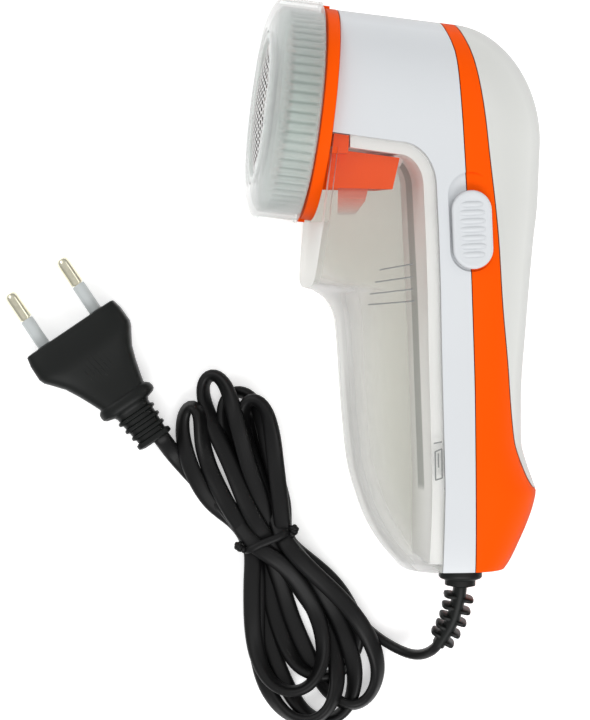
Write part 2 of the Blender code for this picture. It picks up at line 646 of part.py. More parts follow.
def spline_points(route, steps):
    """Points of a Catmull-Rom curve through a route, with so many steps to each stretch."""
    knots = [Vector(point) for point in route]
    ends = [knots[0] * 2 - knots[1]] + knots + [knots[-1] * 2 - knots[-2]]
    points = []
    for i in range(len(knots) - 1):
        a, b, c, d = ends[i:i + 4]
        for k in range(steps):
            s = k / steps
            points.append(0.5 * (2 * b + (c - a) * s + (2 * a - 5 * b + 4 * c - d) * s**2
                                 + (3 * b - a - 3 * c + d) * s**3))
    return points + [knots[-1]]


def tube(name, route, radius, steps, parent, finish, resolution=2):
    """A round lead along a smooth route."""
    points = spline_points(route, steps)
    path = bpy.data.curves.new(name, "CURVE")
    path.dimensions = "3D"
    path.bevel_depth = radius * MM
    path.bevel_resolution = resolution
    path.use_fill_caps = True
    spline = path.splines.new("POLY")
    spline.points.add(len(points) - 1)
    for node, point in zip(spline.points, points):
        node.co = (*(point * MM), 1.0)
    made = bpy.data.objects.new(name, path)
    bpy.context.scene.collection.objects.link(made)
    made.parent = parent
    path.materials.append(finish)
    return made


def swept(name, route, radii, sides, parent, finish):
    """A body of round slices along a route, one radius to each point."""
    points = [Vector(point) for point in route]
    rings = []
    for i, point in enumerate(points):
        along = points[min(i + 1, len(points) - 1)] - points[max(i - 1, 0)]
        turn = along.to_track_quat("Z", "X").to_matrix()
        ring = []
        for k in range(sides):
            angle = math.tau * k / sides
            ring.append(point + turn @ Vector((radii[i] * math.cos(angle), radii[i] * math.sin(angle), 0.0)))
        rings.append(ring)
    return loft(name, rings, parent, finish)


def make_strain_relief(pose, black):
    """The ribbed sleeve that bends with the lead: a neck in the tail, two flanges, then a taper with ribs."""
    knots = [(RELIEF_X, -76.0, 0.0), (RELIEF_X, -84.0, 0.0), (20.0, -90.0, -0.6), (18.2, -98.0, -2.6),
             (14.6, -105.0, -5.2)]
    route = spline_points(knots, 4)
    radii = []
    for i in range(len(route)):
        share = i / (len(route) - 1)
        radii.append(3.6 if i < 5 else 4.9 - 1.5 * share)
    return swept("strain_relief", route, radii, 12, pose, black)


# The tied hank of the lead, seen from above, in the surface's own frame.
HANK_OUTLINE = [(-52.5, -22.7), (-38.3, -31.2), (-33.2, -45.0), (-30.2, -66.1), (-20.9, -82.7),
                (-7.3, -97.8), (-2.2, -112.9), (-6.0, -123.5), (-17.8, -131.8), (-29.9, -128.8),
                (-41.4, -112.9), (-43.8, -90.2), (-50.4, -71.5), (-60.5, -57.5), (-62.0, -40.0)]
HANK_HEIGHT = 13.0


def make_lead(finishes):
    """The flat twin lead: from the strain relief to the tied hank, and from the hank to the plug."""
    closed = HANK_OUTLINE[-1:] + HANK_OUTLINE + HANK_OUTLINE[:2]
    outline = []
    for i in range(1, len(HANK_OUTLINE) + 1):
        a, b, c, d = (Vector(point) for point in closed[i - 1:i + 3])
        for s in (0.0, 0.5):
            outline.append(0.5 * (2 * b + (c - a) * s + (2 * a - 5 * b + 4 * c - d) * s**2
                                  + (3 * b - a - 3 * c + d) * s**3))
    prism("cord_hank", [(point.x, point.y) for point in outline], 0.2, HANK_HEIGHT, None, finishes["cord"])
    radius = CORD_WIDTH / 2
    lead = [(14.0, -105.5, 16.6), (12.0, -108.4, 15.5), (8.0, -110.2, 14.0), (3.5, -109.4, 12.0),
            (-0.4, -107.4, 10.0)]
    tube("cord_lead", lead, radius, 4, None, finishes["cord"])
    tail = [(-65.4, -51.6, 6.4), (-68.0, -48.6, 6.7), (-70.6, -45.4, 7.0)]
    tube("cord_tail", tail, radius, 3, None, finishes["cord"])


def make_tie(finishes):
    low = (-46.0, -77.0, HANK_HEIGHT + 0.4)
    high = (-28.0, -72.0, HANK_HEIGHT + 1.4)
    block("cord_tie", low, high, None, finishes["cord"])


# The plug, as (distance back from its face, half width, half thickness).
PLUG_PROFILE = [(0.0, 15.2, 5.6), (0.8, 16.2, 6.6), (7.6, 16.2, 6.8), (10.6, 14.4, 6.4), (14.2, 11.8, 5.6),
                (20.0, 9.4, 5.0), (25.2, 8.0, 4.8), (26.0, 8.6, 5.4), (28.0, 8.0, 5.4), (28.8, 5.8, 4.4),
                (40.5, 5.0, 3.8)]


def make_plug(finishes):
    """The two-pin plug. Its local +Z points the way that the pins do."""
    heading = Vector((*PLUG_HEADING, 0.0)).normalized()
    across = Vector((heading.y, -heading.x, 0.0))
    rise = Vector((0.0, 0.0, 1.0))
    matrix = Matrix((across, rise, heading)).transposed().to_4x4()
    matrix.translation = Vector((*PLUG_FACE, PLUG_MID_Z)) * MM
    plug = empty("plug_axis", matrix)
    rings = []
    for back, half, thick in PLUG_PROFILE:
        ring = []
        for i in range(16):
            angle = math.tau * (i + 0.5) / 16
            x = half * math.copysign(abs(math.cos(angle)) ** 0.6, math.cos(angle))
            y = thick * math.copysign(abs(math.sin(angle)) ** 0.6, math.sin(angle))
            ring.append((x, y, -back))
        rings.append(ring)
    loft("plug_body", rings, plug, finishes["black"])
    for number, side in enumerate((-1, 1), 1):
        place = (side * PIN_SPACING / 2 * MM, 0.0, 0.0)
        sleeve = [(1.75, 0.3), (2.0, 0.3), (2.0, PIN_SLEEVE), (1.75, PIN_SLEEVE)]
        turned(f"pin_sleeve_{number}", sleeve, plug, finishes["sleeve"], 12).location = place
        pin = [(0.0, 0.4), (1.45, 0.4), (1.45, PIN_SLEEVE + 0.3), (2.0, PIN_SLEEVE + 0.3),
               (2.0, PIN_LENGTH - 1.2), (1.2, PIN_LENGTH), (0.0, PIN_LENGTH)]
        turned(f"plug_pin_{number}", pin, plug, finishes["brass"], 12).location = place


def make_casing_screws(pose, steel):
    for number, (y, z) in enumerate(BOSSES, 1):
        length = SCREW_HEAD_X[y] - SCREW_TIP_X[y]
        profile = [(0.0, 0.0), (1.1, 0.0), (1.1, length + 0.3), (2.4, length + 0.3), (2.4, length + 1.9),
                   (0.0, length + 1.9)]
        screw = turned(f"casing_screw_{number}", profile, pose, steel, 10)
        screw.rotation_euler = (0.0, math.pi / 2, 0.0)
        screw.location = (SCREW_TIP_X[y] * MM, y * MM, z * MM)


def rest_matrix():
    roll = Matrix.Rotation(math.radians(REST_ROLL), 4, "Y")
    pitch = Matrix.Rotation(math.radians(REST_PITCH), 4, "X")
    return Matrix.Translation(Vector(REST_SHIFT) * MM) @ pitch @ roll


def head_matrix():
    """The head's frame: +Z out along its axis, +X up across it."""
    lean = HEAD_TILT
    matrix = Matrix(((math.sin(lean), 0.0, -math.cos(lean)), (math.cos(lean), 0.0, math.sin(lean)),
                     (0.0, -1.0, 0.0))).to_4x4()
    matrix.translation = Vector((HEAD_X, HEAD_Y, 0.0)) * MM
    return matrix


def main():
    clear_scene()
    finishes = {
        "white": material("white_gloss", (0.76, 0.80, 0.82), 0.25),
        "orange": material("orange_gloss", (0.90, 0.12, 0.01), 0.25),
        "clear": material("frosted_clear", (0.85, 0.88, 0.86), 0.25, 0.0, 0.8),
        "steel": material("bright_steel", (0.62, 0.62, 0.62), 0.3, 1.0),
        "brass": material("pin_brass", (0.62, 0.58, 0.42), 0.3, 1.0),
        "copper": material("winding_copper", (0.62, 0.25, 0.12), 0.4, 1.0),
        "black": material("black_moulding", (0.02, 0.02, 0.02), 0.45),
        "grey": material("grey_nylon", (0.55, 0.56, 0.55), 0.4),
        "cord": material("cord_sheath", (0.03, 0.03, 0.03), 0.5),
        "sleeve": material("pin_sleeve_grey", (0.55, 0.57, 0.56), 0.4),
        "board": material("board_laminate", (0.45, 0.33, 0.12), 0.5),
        "red": material("film_case", (0.45, 0.05, 0.03), 0.35),
        "tan": material("resistor_coat", (0.6, 0.45, 0.3), 0.5),
        "wire": material("wire_sheath", (0.5, 0.04, 0.03), 0.45),
    }
    pose = empty("rest_pose", rest_matrix())
    head = empty("head_axis", head_matrix(), pose)
    spin = empty("cutter_axis", None, head)
    slide = empty("switch_slide", None, pose)
    make_front_shell(pose, finishes["white"])
    make_rear_shell(pose, finishes["orange"])
    make_back_cover(pose, finishes["white"])
    make_lint_box(pose, finishes["clear"])
    make_lint_chute(pose, finishes["orange"])
    make_head(head, finishes)
    make_bulkhead(head, finishes)
    make_cutter(spin, finishes)
    make_motor(head, spin, finishes)
    make_switch(pose, slide, finishes)
    make_electrics(pose, finishes)
    make_casing_screws(pose, finishes["steel"])
    make_strain_relief(pose, finishes["black"])
    make_lead(finishes)
    make_tie(finishes)
    make_plug(finishes)


main()
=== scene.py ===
"""Looks of the corded fabric shaver: camera, light, the tied lead, and a fine surface over the CAD frame.

The shaver's own plane is the one part.py models it in: +Y from the tail to the head, -X the way the net
faces, z = 0 its plane of symmetry, in millimetres. Everything on the table is in the frame's own axes.
"""

import math

import bmesh
import bpy
import numpy as np
from mathutils import Matrix, Vector
from mathutils.bvhtree import BVHTree


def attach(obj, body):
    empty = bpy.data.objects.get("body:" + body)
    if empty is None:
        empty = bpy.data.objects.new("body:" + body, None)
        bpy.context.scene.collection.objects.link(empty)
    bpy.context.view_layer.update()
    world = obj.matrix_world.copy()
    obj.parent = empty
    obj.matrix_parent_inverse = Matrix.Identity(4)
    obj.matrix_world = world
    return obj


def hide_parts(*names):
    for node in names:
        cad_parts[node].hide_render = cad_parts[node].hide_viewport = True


MM = 0.001
CRISP = 28.0

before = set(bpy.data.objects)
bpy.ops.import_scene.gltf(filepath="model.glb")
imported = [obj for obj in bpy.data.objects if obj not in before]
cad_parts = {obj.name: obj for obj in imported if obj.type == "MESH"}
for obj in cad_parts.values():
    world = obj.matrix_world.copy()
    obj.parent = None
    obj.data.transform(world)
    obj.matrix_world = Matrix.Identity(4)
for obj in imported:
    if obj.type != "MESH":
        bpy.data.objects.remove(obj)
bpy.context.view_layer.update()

# How the shaver lies, as in part.py.
REST_ROLL = 5.94
REST_PITCH = 2.21
REST_SHIFT = (0.22, -0.44, 27.49)
HEAD_TILT = math.radians(6.75)
HEAD_X = -20.5
HEAD_Y = 51.2

POSE = (Matrix.Translation(Vector(REST_SHIFT) * MM) @ Matrix.Rotation(math.radians(REST_PITCH), 4, "X")
        @ Matrix.Rotation(math.radians(REST_ROLL), 4, "Y"))
HEAD = Matrix(((math.sin(HEAD_TILT), 0.0, -math.cos(HEAD_TILT)),
               (math.cos(HEAD_TILT), 0.0, math.sin(HEAD_TILT)),
               (0.0, -1.0, 0.0))).to_4x4()
HEAD.translation = Vector((HEAD_X, HEAD_Y, 0.0)) * MM
HEAD = POSE @ HEAD


# ---------------------------------------------------------------- camera, floor and light

CAMERA_PLACE = (-0.0284, -0.0209, 0.9985)
CAMERA_LENS = 165.3

camera_data = bpy.data.cameras.new("camera")
camera_data.lens = CAMERA_LENS
camera_data.sensor_width = 36.0
camera_data.clip_end = 20.0
camera = bpy.data.objects.new("camera", camera_data)
camera.location = CAMERA_PLACE
bpy.context.scene.collection.objects.link(camera)
bpy.context.scene.camera = camera
bpy.context.scene.view_settings.view_transform = "Standard"


class Nodes:
    """A short way to write a shader tree."""

    def __init__(self, name):
        self.made = bpy.data.materials.new(name)
        self.made.use_nodes = True
        self.tree = self.made.node_tree
        self.tree.nodes.clear()
        self.out = self.tree.nodes.new("ShaderNodeOutputMaterial")
        self.place = self.tree.nodes.new("ShaderNodeTexCoord").outputs["Object"]

    def add(self, kind, **values):
        node = self.tree.nodes.new(kind)
        for name, value in values.items():
            if name in node.inputs.keys():
                self.set(node, name, value)
            else:
                setattr(node, name, value)
        return node

    def link(self, output, socket):
        self.tree.links.new(output, socket)

    def set(self, node, name, value):
        if isinstance(value, bpy.types.NodeSocket):
            self.link(value, node.inputs[name])
        else:
            node.inputs[name].default_value = value

    def noise(self, scale, detail):
        node = self.add("ShaderNodeTexNoise", Scale=scale, Detail=detail, Roughness=0.55)
        self.link(self.place, node.inputs["Vector"])
        return node.outputs["Fac"]

    def spread(self, value, low, high, from_low=0.3, from_high=0.7):
        """A value mapped to a range."""
        node = self.tree.nodes.new("ShaderNodeMapRange")
        self.link(value, node.inputs[0])
        for index, number in enumerate((from_low, from_high, low, high), 1):
            node.inputs[index].default_value = number
        return node.outputs[0]

    def axis(self, name):
        """One coordinate of the place over the table, in metres."""
        split = self.add("ShaderNodeSeparateXYZ")
        self.link(self.place, split.inputs[0])
        return split.outputs[name]

    def product(self, first, second):
        node = self.add("ShaderNodeMath", operation="MULTIPLY")
        self.link(first, node.inputs[0])
        self.link(second, node.inputs[1])
        return node.outputs[0]

    def blend(self, share, first, second):
        """A colour between two colours, each given as numbers or worked out by nodes."""
        node = self.tree.nodes.new("ShaderNodeMix")
        node.data_type = "RGBA"
        self.link(share, node.inputs[0])
        for index, colour in ((6, first), (7, second)):
            self.set(node, index, (*colour, 1.0) if isinstance(colour, tuple) else colour)
        return node.outputs[2]

    def clouded(self, scale, detail, first, second):
        """Soft clouds of one colour in another."""
        return self.blend(self.spread(self.noise(scale, detail), 0.0, 1.0), first, second)

    def see_through(self, share, colour, shader):
        """A surface over a view through that is tinted by a colour."""
        clear = self.add("ShaderNodeBsdfTransparent")
        clear.inputs["Color"].default_value = (*colour, 1.0)
        node = self.add("ShaderNodeMixShader")
        for index, source in enumerate((share, clear.outputs[0], shader.outputs[0])):
            self.link(source, node.inputs[index])
        return node.outputs[0]

    def bump(self, height, strength, distance):
        node = self.tree.nodes.new("ShaderNodeBump")
        node.inputs["Strength"].default_value = strength
        node.inputs["Distance"].default_value = distance
        self.link(height, node.inputs["Height"])
        return node.outputs["Normal"]

    def finish(self, surface):
        self.link(surface, self.out.inputs["Surface"])
        return self.made


def shade(colour, factor):
    return tuple(channel * factor for channel in colour)


def plastic(name, colour, rough, variation, grain=900.0, depth=0.00001, specular=0.5, edge=1.0):
    """A moulded plastic: faint clouds of colour, a fine grain, uneven gloss and painted shade at its outline.
    """
    uneven = 0.06
    nodes = Nodes(name)
    base = nodes.clouded(38.0, 4.0, shade(colour, 1.0 - variation), shade(colour, 1.0 + variation))
    shader = nodes.add("ShaderNodeBsdfPrincipled")
    # Painted shade: with edge below 1 the base colour darkens toward the outline, where the surface turns
    # away from the view.
    if edge < 1.0:
        grazing = nodes.add("ShaderNodeLayerWeight")
        grazing.inputs["Blend"].default_value = 0.5
        outline = nodes.spread(grazing.outputs["Facing"], 0.0, 1.0, 0.55, 1.0)
        base = nodes.blend(outline, base, shade(colour, edge))
    nodes.set(shader, "Base Color", base)
    gloss = nodes.spread(nodes.noise(160.0, 3.0), rough * (1.0 - uneven), rough * (1.0 + uneven))
    nodes.set(shader, "Roughness", gloss)
    nodes.set(shader, "Normal", nodes.bump(nodes.noise(grain, 2.0), 0.15, depth))
    nodes.set(shader, "Specular IOR Level", specular)
    return nodes.finish(shader.outputs[0])


def metal(name, colour, rough, streak=9.0):
    """A drawn or turned metal with fine streaks."""
    nodes = Nodes(name)
    stretch = nodes.add("ShaderNodeMapping")
    nodes.link(nodes.place, stretch.inputs["Vector"])
    stretch.inputs["Scale"].default_value = (1.0, 1.0, streak)
    texture = nodes.add("ShaderNodeTexNoise", Scale=420.0, Detail=3.0)
    nodes.link(stretch.outputs[0], texture.inputs["Vector"])
    grain = texture.outputs["Fac"]
    share = nodes.spread(grain, 0.0, 1.0)
    shader = nodes.add("ShaderNodeBsdfPrincipled")
    nodes.set(shader, "Base Color", nodes.blend(share, shade(colour, 0.9), shade(colour, 1.1)))
    nodes.set(shader, "Metallic", 1.0)
    nodes.set(shader, "Roughness", nodes.spread(grain, rough * 0.75, rough * 1.3))
    nodes.set(shader, "Normal", nodes.bump(grain, 0.15, 0.00002))
    return nodes.finish(shader.outputs[0])


def frosted(name, tint, veil, rough, rim, milky):
    """Clear plastic with a frosted skin: a milky veil over a view through, denser seen edge-on."""
    nodes = Nodes(name)
    milk = nodes.add("ShaderNodeBsdfPrincipled")
    cloud = nodes.clouded(30.0, 3.0, shade(tint, milky - 0.02), shade(tint, milky + 0.02))
    nodes.set(milk, "Base Color", cloud)
    nodes.set(milk, "Roughness", rough)
    nodes.set(milk, "Normal", nodes.bump(nodes.noise(700.0, 2.0), 0.2, 0.00002))
    edge = nodes.add("ShaderNodeLayerWeight")
    edge.inputs["Blend"].default_value = 0.35
    share = nodes.spread(edge.outputs["Facing"], veil, rim, 0.0, 1.0)
    return nodes.finish(nodes.see_through(share, tint, milk))


def board_finish(name):
    """Board laminate with pale tracks."""
    nodes = Nodes(name)
    wave = nodes.add("ShaderNodeTexWave", Scale=160.0, Distortion=6.0)
    nodes.link(nodes.place, wave.inputs["Vector"])
    tracks = nodes.spread(wave.outputs["Fac"], 0.0, 1.0, 0.62, 0.7)
    shader = nodes.add("ShaderNodeBsdfPrincipled", Roughness=0.45)
    nodes.set(shader, "Base Color", nodes.blend(tracks, (0.36, 0.25, 0.09), (0.55, 0.42, 0.2)))
    nodes.set(shader, "Normal", nodes.bump(wave.outputs["Fac"], 0.3, 0.00005))
    return nodes.finish(shader.outputs[0])


def fading(name, colour, low, high):
    """A colour that thins out to nothing down a range of world Y."""
    nodes = Nodes(name)
    shader = nodes.add("ShaderNodeBsdfPrincipled", Roughness=0.6)
    nodes.set(shader, "Base Color", nodes.clouded(40.0, 3.0, shade(colour, 0.9), colour))
    share = nodes.spread(nodes.axis("Y"), 0.0, 0.85, low, high)
    return nodes.finish(nodes.see_through(share, (1.0, 1.0, 1.0), shader))


def striped(name, pale, dark, low, high, start):
    """A moulding made pale as painted light, with one soft stripe of painted shade between two heights over
    the table, from one place on.
    """
    soft = 0.002
    nodes = Nodes(name)
    above = nodes.spread(nodes.axis("Z"), 0.0, 1.0, low - soft, low)
    below = nodes.spread(nodes.axis("Z"), 1.0, 0.0, high, high + soft)
    past = nodes.spread(nodes.axis("Y"), 0.0, 1.0, start, start + soft)
    stripe = nodes.product(nodes.product(above, below), past)
    shader = nodes.add("ShaderNodeBsdfPrincipled", Roughness=0.45)
    nodes.set(shader, "Base Color", nodes.blend(stripe, pale, dark))
    nodes.set(shader, "Normal", nodes.bump(nodes.noise(500.0, 2.0), 0.1, 0.00001))
    return nodes.finish(shader.outputs[0])


def floor_finish():
    """A plain white sweep that softens the shadows on it."""
    nodes = Nodes("floor")
    shader = nodes.add("ShaderNodeBsdfPrincipled", Roughness=0.6)
    nodes.set(shader, "Base Color", (0.93, 0.93, 0.93, 1.0))
    nodes.set(shader, "Specular IOR Level", 0.1)
    nodes.set(shader, "Emission Color", (1.0, 1.0, 1.0, 1.0))
    nodes.set(shader, "Emission Strength", 0.42)
    return nodes.finish(shader.outputs[0])


# An edge below 1 darkens a plastic toward its outline as painted shade.
FINISH = {
    "white_casing": plastic("white_gloss", (0.655, 0.675, 0.695), 0.32, 0.006, specular=0.25, edge=0.62),
    "orange_casing": plastic("orange_gloss", (0.95, 0.092, 0.001), 0.5, 0.012, specular=0.03, edge=0.6),
    "frosted_clear": frosted("frosted_clear", (0.995, 0.995, 0.99), 0.02, 0.22, rim=0.8, milky=0.66),
    "clear_ring": frosted("clear_ring", (0.975, 0.985, 0.98), 0.035, 0.1, rim=0.7, milky=0.56),
    "net_steel": metal("net_steel", (0.5, 0.5, 0.49), 0.3, streak=1.0),
    "bright_steel": metal("bright_steel", (0.62, 0.62, 0.62), 0.24),
    "pin_brass": metal("pin_nickel", (0.74, 0.71, 0.56), 0.16),
    "winding_copper": metal("winding_copper", (0.62, 0.25, 0.12), 0.35),
    "black_plastic": plastic("black_plastic", (0.02, 0.02, 0.021), 0.45, 0.2),
    "grey_nylon": plastic("grey_nylon", (0.52, 0.53, 0.52), 0.4, 0.05),
    "black_pvc": plastic("black_pvc", (0.005, 0.005, 0.0052), 0.42, 0.1, 1500.0, 0.00002, specular=0.2),
    "plug_pvc": plastic("plug_pvc", (0.006, 0.007, 0.0065), 0.42, 0.1, 1100.0, 0.00003, specular=0.2),
    "sleeve_grey": plastic("sleeve_grey", (0.50, 0.53, 0.53), 0.4, 0.04),
    "board_laminate": board_finish("board_laminate"),
    "film_case": plastic("film_case", (0.45, 0.05, 0.03), 0.35, 0.08),
}
# A darker, denser copy of the frosted clear for the lint box's lower half: painted shade on its far wall.
FROST_PAINTED_SHADE = frosted("frost_painted_shade", (0.87, 0.87, 0.84), 0.16, 0.3, rim=0.85, milky=0.86)
WARM_WHITE = plastic("warm_white", (0.665, 0.67, 0.645), 0.34, 0.006, specular=0.2, edge=0.6)
RIBBED_CLEAR = frosted("ribbed_clear", (0.97, 1.0, 0.985), 0.3, 0.25, rim=0.75, milky=0.88)
# A darker frosted copy for the valleys between the ring's ribs: painted shade.
RIB_VALLEY_SHADE = frosted("rib_valley_shade", (0.60, 0.66, 0.63), 0.6, 0.3, rim=0.8, milky=0.74)
MOUTH_SHADE = fading("mouth_shade", (0.80, 0.17, 0.09), low=0.0205, high=0.0295)
# For the front shell behind the lint box: a pale colour as painted light, and a dark stripe down the ledge's
# inner wall as painted shade.
INSIDE_LIGHT_AND_SHADE = striped("inside_light_and_shade", (0.9, 0.9, 0.89), (0.40, 0.41, 0.40),
                      low=0.0165, high=0.0275, start=-0.0595)
GRIP_SHADE = plastic("grip_shade", (0.22, 0.23, 0.225), 0.4, 0.05)
PALE_SLEEVE = plastic("pale_sleeve", (0.92, 0.95, 0.93), 0.4, 0.03)
LAMPS = {
    "key": ((0.25, -0.9, 1.1), (0.9, 0.6), 9.0),
    "fill": ((-0.9, 0.5, 0.9), (0.9, 0.9), 5.0),
    "side": ((0.9, 0.5, 0.8), (0.7, 0.7), 1.8),
}
LAMP_AIM = (0.0, 0.0, 0.02)


def lamp(name, place, size, power):
    data = bpy.data.lights.new(name, "AREA")
    data.shape = "RECTANGLE"
    data.size, data.size_y = size
    data.energy = power
    made = bpy.data.objects.new(name, data)
    made.location = place
    made.rotation_euler = (Vector(LAMP_AIM) - Vector(place)).to_track_quat("-Z", "Y").to_euler()
    bpy.context.scene.collection.objects.link(made)


def sky():
    """An even studio light, a little darker toward the horizon."""
    world = bpy.data.worlds.new("studio")
    bpy.context.scene.world = world
    world.use_nodes = True
    tree = world.node_tree
    back = tree.nodes["Background"]
    place = tree.nodes.new("ShaderNodeTexCoord")
    split = tree.nodes.new("ShaderNodeSeparateXYZ")
    ramp = tree.nodes.new("ShaderNodeMapRange")
    mix = tree.nodes.new("ShaderNodeMix")
    mix.data_type = "RGBA"
    tree.links.new(place.outputs["Generated"], split.inputs[0])
    tree.links.new(split.outputs["Z"], ramp.inputs[0])
    ramp.inputs[1].default_value = -0.1
    ramp.inputs[2].default_value = 0.9
    tree.links.new(ramp.outputs[0], mix.inputs[0])
    mix.inputs[6].default_value = (0.52, 0.53, 0.54, 1.0)
    mix.inputs[7].default_value = (1.0, 1.0, 1.0, 1.0)
    tree.links.new(mix.outputs[2], back.inputs["Color"])
    back.inputs["Strength"].default_value = 0.7


def studio():
    sky()
    for name, (place, size, power) in LAMPS.items():
        lamp(name, place, size, power)
    mesh = bpy.data.meshes.new("floor")
    mesh.from_pydata([(-3, -3, 0), (3, -3, 0), (3, 3, 0), (-3, 3, 0)], [], [(0, 1, 2, 3)])
    floor = bpy.data.objects.new("floor", mesh)
    bpy.context.scene.collection.objects.link(floor)
    mesh.materials.append(floor_finish())


studio()


# ---------------------------------------------------------------- small modelling tools, in millimetres

def squared(value, power):
    """A sine or cosine bent toward a square corner, its sign kept."""
    return math.copysign(abs(value) ** power, value)


def round_turn(sides, start=0.0):
    """The cosine and sine at even steps round a circle."""
    angles = [math.tau * (k + start) / sides for k in range(sides)]
    return [(math.cos(angle), math.sin(angle)) for angle in angles]


def smooth(data, sharp):
    data.shade_smooth()
    data.set_sharp_from_angle(angle=math.radians(sharp))


def new_object(name, mesh, finish=None, place=None, sharp=32.0):
    """Makes an object of a bmesh in millimetres, placed by a matrix in metres."""
    bmesh.ops.recalc_face_normals(mesh, faces=mesh.faces)
    bmesh.ops.scale(mesh, vec=(MM, MM, MM), verts=mesh.verts)
    data = bpy.data.meshes.new(name)
    mesh.to_mesh(data)
    mesh.free()
    smooth(data, sharp)
    made = bpy.data.objects.new(name, data)
    bpy.context.scene.collection.objects.link(made)
    if finish:
        data.materials.append(FINISH[finish])
    if place is not None:
        made.matrix_world = place
    return made


def add_rings(mesh, rings, closed=False):
    """Skins a list of rings of points, capped at both ends or closed on itself."""
    rows = [[mesh.verts.new(point) for point in ring] for ring in rings]
    pairs = list(zip(rows, rows[1:]))
    if closed:
        pairs.append((rows[-1], rows[0]))
    for low, high in pairs:
        for i in range(len(low)):
            j = (i + 1) % len(low)
            mesh.faces.new((low[i], low[j], high[j], high[i]))
    if not closed:
        mesh.faces.new(rows[0])
        mesh.faces.new(rows[-1])


def loft(name, rings, finish=None, place=None, sharp=32.0):
    mesh = bmesh.new()
    add_rings(mesh, rings)
    return new_object(name, mesh, finish, place, sharp)


def turned(name, profile, sides=144, finish=None, place=None, ripple=None, sharp=32.0):
    """Spins a closed (radius, t) profile about local Z. A ripple changes the radius by angle and t."""
    mesh = bmesh.new()
    rings = []
    for i in range(sides):
        angle = math.tau * i / sides
        ring = [(ripple(radius, t, angle) if ripple else radius, t) for radius, t in profile]
        rings.append([(radius * math.cos(angle), radius * math.sin(angle), t) for radius, t in ring])
    add_rings(mesh, rings, closed=True)
    return new_object(name, mesh, finish, place, sharp)


def prism(name, outline, low=-45.0, high=45.0):
    mesh = bmesh.new()
    add_rings(mesh, [[(x, y, low) for x, y in outline], [(x, y, high) for x, y in outline]])
    return new_object(name, mesh)


def block(name, low, high):
    outline = [(low[0], low[1]), (high[0], low[1]), (high[0], high[1]), (low[0], high[1])]
    return prism(name, outline, low[2], high[2])


def rod(name, start, end, radius, sides=32):
    axis = Vector(end) - Vector(start)
    turn = axis.to_track_quat("Z", "Y").to_matrix()
    rings = [[Vector(start) + turn @ Vector((radius * c, radius * s, along))
              for c, s in round_turn(sides, 0.5)] for along in (0.0, axis.length)]
    return loft(name, rings)


def evaluated_mesh(obj):
    bpy.context.view_layer.update()
    return bpy.data.meshes.new_from_object(obj.evaluated_get(bpy.context.evaluated_depsgraph_get()))


def combine(target, operation, other):
    """Applies a Boolean with another object, and removes that object."""
    step = target.modifiers.new("step", "BOOLEAN")
    step.operation = operation
    step.solver = "MANIFOLD"
    step.object = other
    result = evaluated_mesh(target)
    target.modifiers.clear()
    target.data = result
    bpy.data.objects.remove(other, do_unlink=True)
    return target


def both(first, second):
    return combine(first, "INTERSECT", second)


def join(first, second):
    return combine(first, "UNION", second)


def cut(first, second):
    return combine(first, "DIFFERENCE", second)


def coat(obj, finish, place=POSE):
    """Cleans up what Booleans left, and gives the object its finish and its place."""
    mesh = bmesh.new()
    mesh.from_mesh(obj.data)
    bmesh.ops.remove_doubles(mesh, verts=mesh.verts, dist=0.01 * MM)
    bmesh.ops.dissolve_degenerate(mesh, edges=mesh.edges, dist=0.01 * MM)
    mesh.to_mesh(obj.data)
    mesh.free()
    obj.data.materials.clear()
    obj.data.materials.append(FINISH[finish])
    smooth(obj.data, CRISP)
    obj.matrix_world = place
    return obj


def directions(line, i):
    """The way ahead of a line at one of its points, and the two directions across it."""
    ahead = Vector(line[min(i + 1, len(line) - 1)] - line[max(i - 1, 0)]).normalized()
    side = Vector((0.0, 0.0, 1.0)).cross(ahead)
    if side.length < 0.1:
        side = Vector((1.0, 0.0, 0.0)).cross(ahead)
    side.normalize()
    return ahead, side, ahead.cross(side)


def add_tube(mesh, points, radius, sides=8):
    """A round tube along points, with rounded ends."""
    rings = []
    for i, point in enumerate(points):
        ahead, side, over = directions(points, i)
        rings.append([point + side * (radius * c) + over * (radius * s) for c, s in round_turn(sides)])
        if i in (0, len(points) - 1):
            reach = ahead * (radius * (0.5 if i else -0.5))
            rings.append([point + (vertex - point) * 0.6 + reach for vertex in rings[-1]])
    rings[0], rings[1] = rings[1], rings[0]
    add_rings(mesh, rings)


def second_finish(obj, finish, chosen):
    """Gives a material of their own to the faces that a test of their middle, in millimetres, picks."""
    obj.data.materials.append(finish)
    for face in obj.data.polygons:
        if chosen(*(face.center / MM)):
            face.material_index = 1
    return obj


def smooth_step(value, low, high):
    share = min(max((value - low) / (high - low), 0.0), 1.0)
    return share * share * (3.0 - 2.0 * share)


def spline(route, steps):
    """Points of a Catmull-Rom curve through a route."""
    knots = [Vector(point) for point in route]
    ends = [knots[0] * 2 - knots[1]] + knots + [knots[-1] * 2 - knots[-2]]
    points = []
    for i in range(len(knots) - 1):
        a, b, c, d = ends[i:i + 4]
        for k in range(steps):
            s = k / steps
            points.append(0.5 * (2 * b + (c - a) * s + (2 * a - 5 * b + 4 * c - d) * s**2
                                 + (3 * b - a - 3 * c + d) * s**3))
    return points + [knots[-1]]


def even(points, step):
    """The same polyline resampled at an even spacing."""
    points = np.array(points, float)
    lengths = np.concatenate([[0.0], np.cumsum(np.linalg.norm(np.diff(points, axis=0), axis=1))])
    count = max(int(round(lengths[-1] / step)), 2)
    at = np.linspace(0.0, lengths[-1], count + 1)
    return np.stack([np.interp(at, lengths, points[:, k]) for k in range(3)], axis=1)


def piece(obj, body, slot, *nodes):
    """Hands a detailed piece to the frame, its placement written into its mesh."""
    obj.data.transform(obj.matrix_world)
    obj.matrix_world = Matrix.Identity(4)
    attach(obj, body)
    if nodes:
        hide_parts(*nodes)
    return obj


# ---------------------------------------------------------------- the flat twin lead

